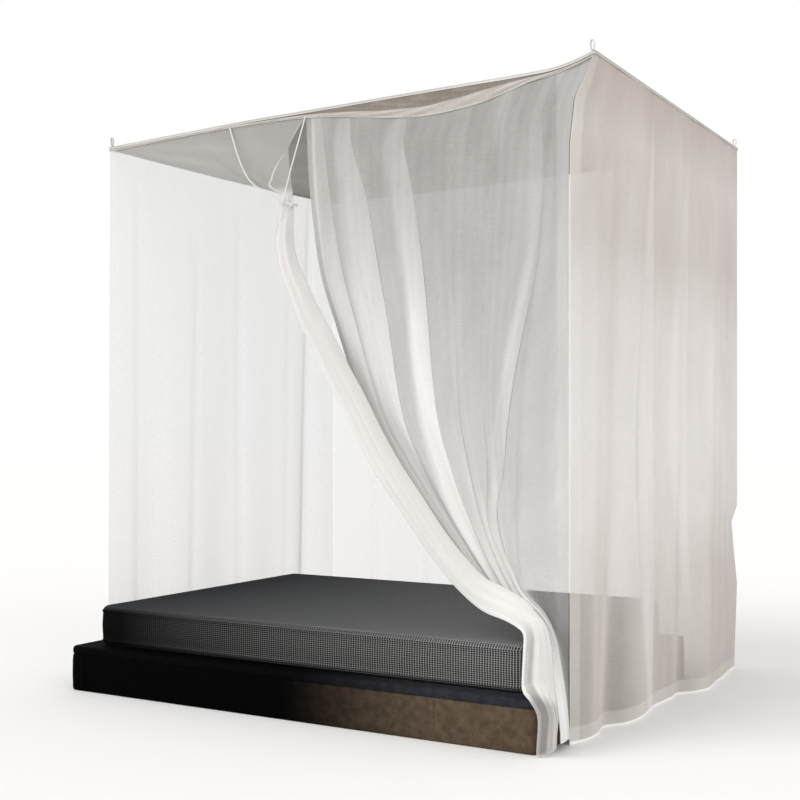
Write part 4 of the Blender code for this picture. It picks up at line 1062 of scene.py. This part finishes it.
# Painted light and sheen: black at the head, brown toward the foot, where the light comes from.
light_and_sheen_to_foot = ranged(tree, apart.outputs["X"], 0.02, 0.82, interpolation_type="SMOOTHSTEP")
body = blended(tree, light_and_sheen_to_foot, (0.0008, 0.0008, 0.0008), (0.110, 0.080, 0.055))
strip_of = blended(tree, light_and_sheen_to_foot, (0.0015, 0.0015, 0.0018), (0.028, 0.032, 0.038))
rim = ranged(tree, apart.outputs["Z"], 0.151, 0.154)
skin = blended(tree, rim, body, strip_of)
worn = ranged(tree, hide.outputs["Mottle"], 0.3, 0.7, 0.72, 1.25)
worn = maths(tree, "MULTIPLY", worn, ranged(tree, hide.outputs["Cracks"], to_low=0.62))
skin = node(tree, "ShaderNodeVectorMath", {0: skin}, operation="SCALE")
tree.links.new(worn, skin.inputs["Scale"])
tree.links.new(skin.outputs[0], shader.inputs["Base Color"])
gloss = ranged(tree, hide.outputs["Mottle"], to_low=0.80, to_high=0.62)
tree.links.new(gloss, shader.inputs["Roughness"])
bumped(tree, shader, hide.outputs["Cracks"], 0.35, 0.0006)
print("material:", leather.name)

# %% [markdown]
# The platform's wall is slightly full between its foot and its rim, and its panels meet at upright
# seams: a narrow groove with a soft pucker on both sides.

# %% The platform
BASE_RADIUS = 0.030
around_base = round_length(BASE_LENGTH, BASE_WIDTH, BASE_RADIUS)
FOOT_SIDE, LONG_SIDE = BASE_WIDTH - 2 * BASE_RADIUS, BASE_LENGTH - 2 * BASE_RADIUS
CORNER_RUN = np.pi / 2 * BASE_RADIUS
near_from = 2 * FOOT_SIDE + LONG_SIDE + 3 * CORNER_RUN
far_from = FOOT_SIDE + CORNER_RUN
NEAR_SEAMS, FAR_SEAMS = (0.366, 2.035), (0.055, 1.720)
SEAMS = np.array([near_from + place for place in NEAR_SEAMS] + [far_from + place for place in FAR_SEAMS]
                 + [FOOT_SIDE / 2, far_from + LONG_SIDE + CORNER_RUN + FOOT_SIDE / 2])
close_by = np.array((-0.014, -0.008, -0.004, -0.002, 0.0, 0.002, 0.004, 0.008, 0.014))
at = np.concatenate((np.linspace(0, around_base, 420, endpoint=False), (SEAMS[:, None] + close_by).ravel()))
at = np.unique(np.round(at, 5))
BASE_PROFILE = [
    (0.012, 0.000), (0.004, 0.001), (0.000, 0.006), (0.0005, 0.030), (0.000, 0.060), (0.000, 0.090),
    (0.000, 0.120), (0.001, 0.143), (0.003, 0.149), (0.006, 0.1515), (0.003, 0.154), (0.001, 0.158),
    (0.001, 0.170), (0.003, 0.178), (0.008, 0.183), (0.014, 0.184), (0.026, 0.184)]


def platform_swell(place, up):
    """1.5 mm of fullness at mid height, 2.5 mm of groove at each seam, 0.8 mm of pucker beside it."""
    full = 0.0015 * np.sin(np.pi * np.clip(up / 0.149, 0, 1))
    off = np.abs(place[..., None] - SEAMS).min(axis=-1)
    upright = step(up, 0.004, 0.012) * (1 - step(up, 0.143, 0.149))
    return full + upright * (0.0008 * hump(off, 0.009, 0.006) - 0.0025 * hump(off, 0.0, 0.0026))


platform = upholstered("platform_body", BASE_LENGTH, BASE_WIDTH, BASE_RADIUS, BASE_PROFILE, at,
                       platform_swell, leather)
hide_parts("bed_base")

# %% [markdown]
# The mattress cover is a charcoal cloth with a fine light check, common on ticking: two crossed sets
# of thin lines, about 10 mm apart sideways and 8 mm upward. The lines show more and more toward the
# foot end, which is painted light falling from the foot side, and the top's ground is painted lighter
# than the sides, as light falls on it from above. A little noise bends the lines, as on any woven cloth
# that is pulled over a filling.

# %% The mattress cover
CHECK = {"X": 0.0105, "Y": 0.0105, "Z": 0.0078}
cover, tree, shader = new_material("mattress_cover", 0.92, 0.02)
coordinates = node(tree, "ShaderNodeTexCoord").outputs["Object"]
laid = node(tree, "ShaderNodeMapping", {"Vector": coordinates, "Rotation": (0.0, 0.0, -float(BED_TURN))})
drawn = node(tree, "ShaderNodeTexNoise", {"Vector": laid.outputs[0], "Scale": 3.0})
drawn = node(tree, "ShaderNodeVectorMath", {0: drawn.outputs["Color"], 1: (0.004, 0.004, 0.004)},
             operation="MULTIPLY")
laid = node(tree, "ShaderNodeVectorMath", {0: laid.outputs[0], 1: drawn.outputs[0]}, operation="ADD")
apart = node(tree, "ShaderNodeSeparateXYZ", {0: laid.outputs[0]})
lines = []
for axis in ("X", "Y", "Z"):
    scaled = maths(tree, "MULTIPLY", apart.outputs[axis], 2 / CHECK[axis])
    lines.append(ranged(tree, maths(tree, "PINGPONG", scaled, 1.0), 0.30, 0.18))
geometry = node(tree, "ShaderNodeNewGeometry")
turned_to = node(tree, "ShaderNodeSeparateXYZ", {0: geometry.outputs["Normal"]})
on_top = ranged(tree, maths(tree, "ABSOLUTE", turned_to.outputs["Z"]), 0.6, 0.8)
on_end = ranged(tree, maths(tree, "ABSOLUTE", turned_to.outputs["X"]), 0.6, 0.8)
along_it = chosen(tree, on_end, lines[0], lines[1])
across_it = chosen(tree, on_top, lines[2], lines[1])
along_it = chosen(tree, on_top, along_it, lines[0])
crossed = maths(tree, "MAXIMUM", along_it, across_it)
# Painted light: the check fades toward the head end, which lies in shade.
shown = maths(tree, "MULTIPLY", crossed, ranged(tree, apart.outputs["X"], -0.9, 0.95, 0.01, 1.0))
# Painted light: the ground on top is lighter than on the sides, as the top is lit and the sides are in
# shade.
ground_with_lit_top = blended(tree, on_top, (0.003, 0.003, 0.0035), (0.031, 0.033, 0.037))
fuzz = node(tree, "ShaderNodeTexNoise", {"Vector": coordinates, "Scale": 700.0})
shown = maths(tree, "MULTIPLY", shown, fuzz.outputs["Fac"])
tree.links.new(blended(tree, shown, ground_with_lit_top, (0.62, 0.63, 0.62)), shader.inputs["Base Color"])
bumped(tree, shader, crossed, 0.3, 0.0005)
print("material:", cover.name)

# %% [markdown]
# The mattress has a full side wall between two corded edges. Its filling makes the wall swell a little.

# %% The mattress
BED_RADIUS, LOW = 0.050, BASE_HEIGHT + GAP
around_bed = round_length(BASE_LENGTH - 2 * MATTRESS_INSET, BASE_WIDTH - 2 * MATTRESS_INSET, BED_RADIUS)
MATTRESS_PROFILE = [
    (0.040, 0.000), (0.024, 0.000), (0.012, 0.003), (0.006, 0.009), (0.0035, 0.014), (0.0005, 0.017),
    (0.0005, 0.021), (0.0035, 0.024), (0.003, 0.040), (0.002, 0.060), (0.001, 0.083), (0.002, 0.106),
    (0.003, 0.126), (0.0035, 0.138), (0.0005, 0.141), (0.0005, 0.145), (0.004, 0.149), (0.009, 0.156),
    (0.017, 0.1625), (0.030, 0.1655), (0.042, 0.166)]


def mattress_swell(place, up):
    """Slow unevenness of 1.5 mm round the wall, more at mid height."""
    full = np.sin(np.pi * np.clip((up - LOW) / MATTRESS_HEIGHT, 0, 1))
    return 0.0012 * full * (np.sin(5.1 * place) + 0.6 * np.sin(13.3 * place + 1.0))


mattress = upholstered(
    "mattress_body", BASE_LENGTH - 2 * MATTRESS_INSET, BASE_WIDTH - 2 * MATTRESS_INSET, BED_RADIUS,
    [(inset, LOW + up) for inset, up in MATTRESS_PROFILE],
    np.linspace(0, around_bed, 460, endpoint=False), mattress_swell, cover)
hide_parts("mattress")
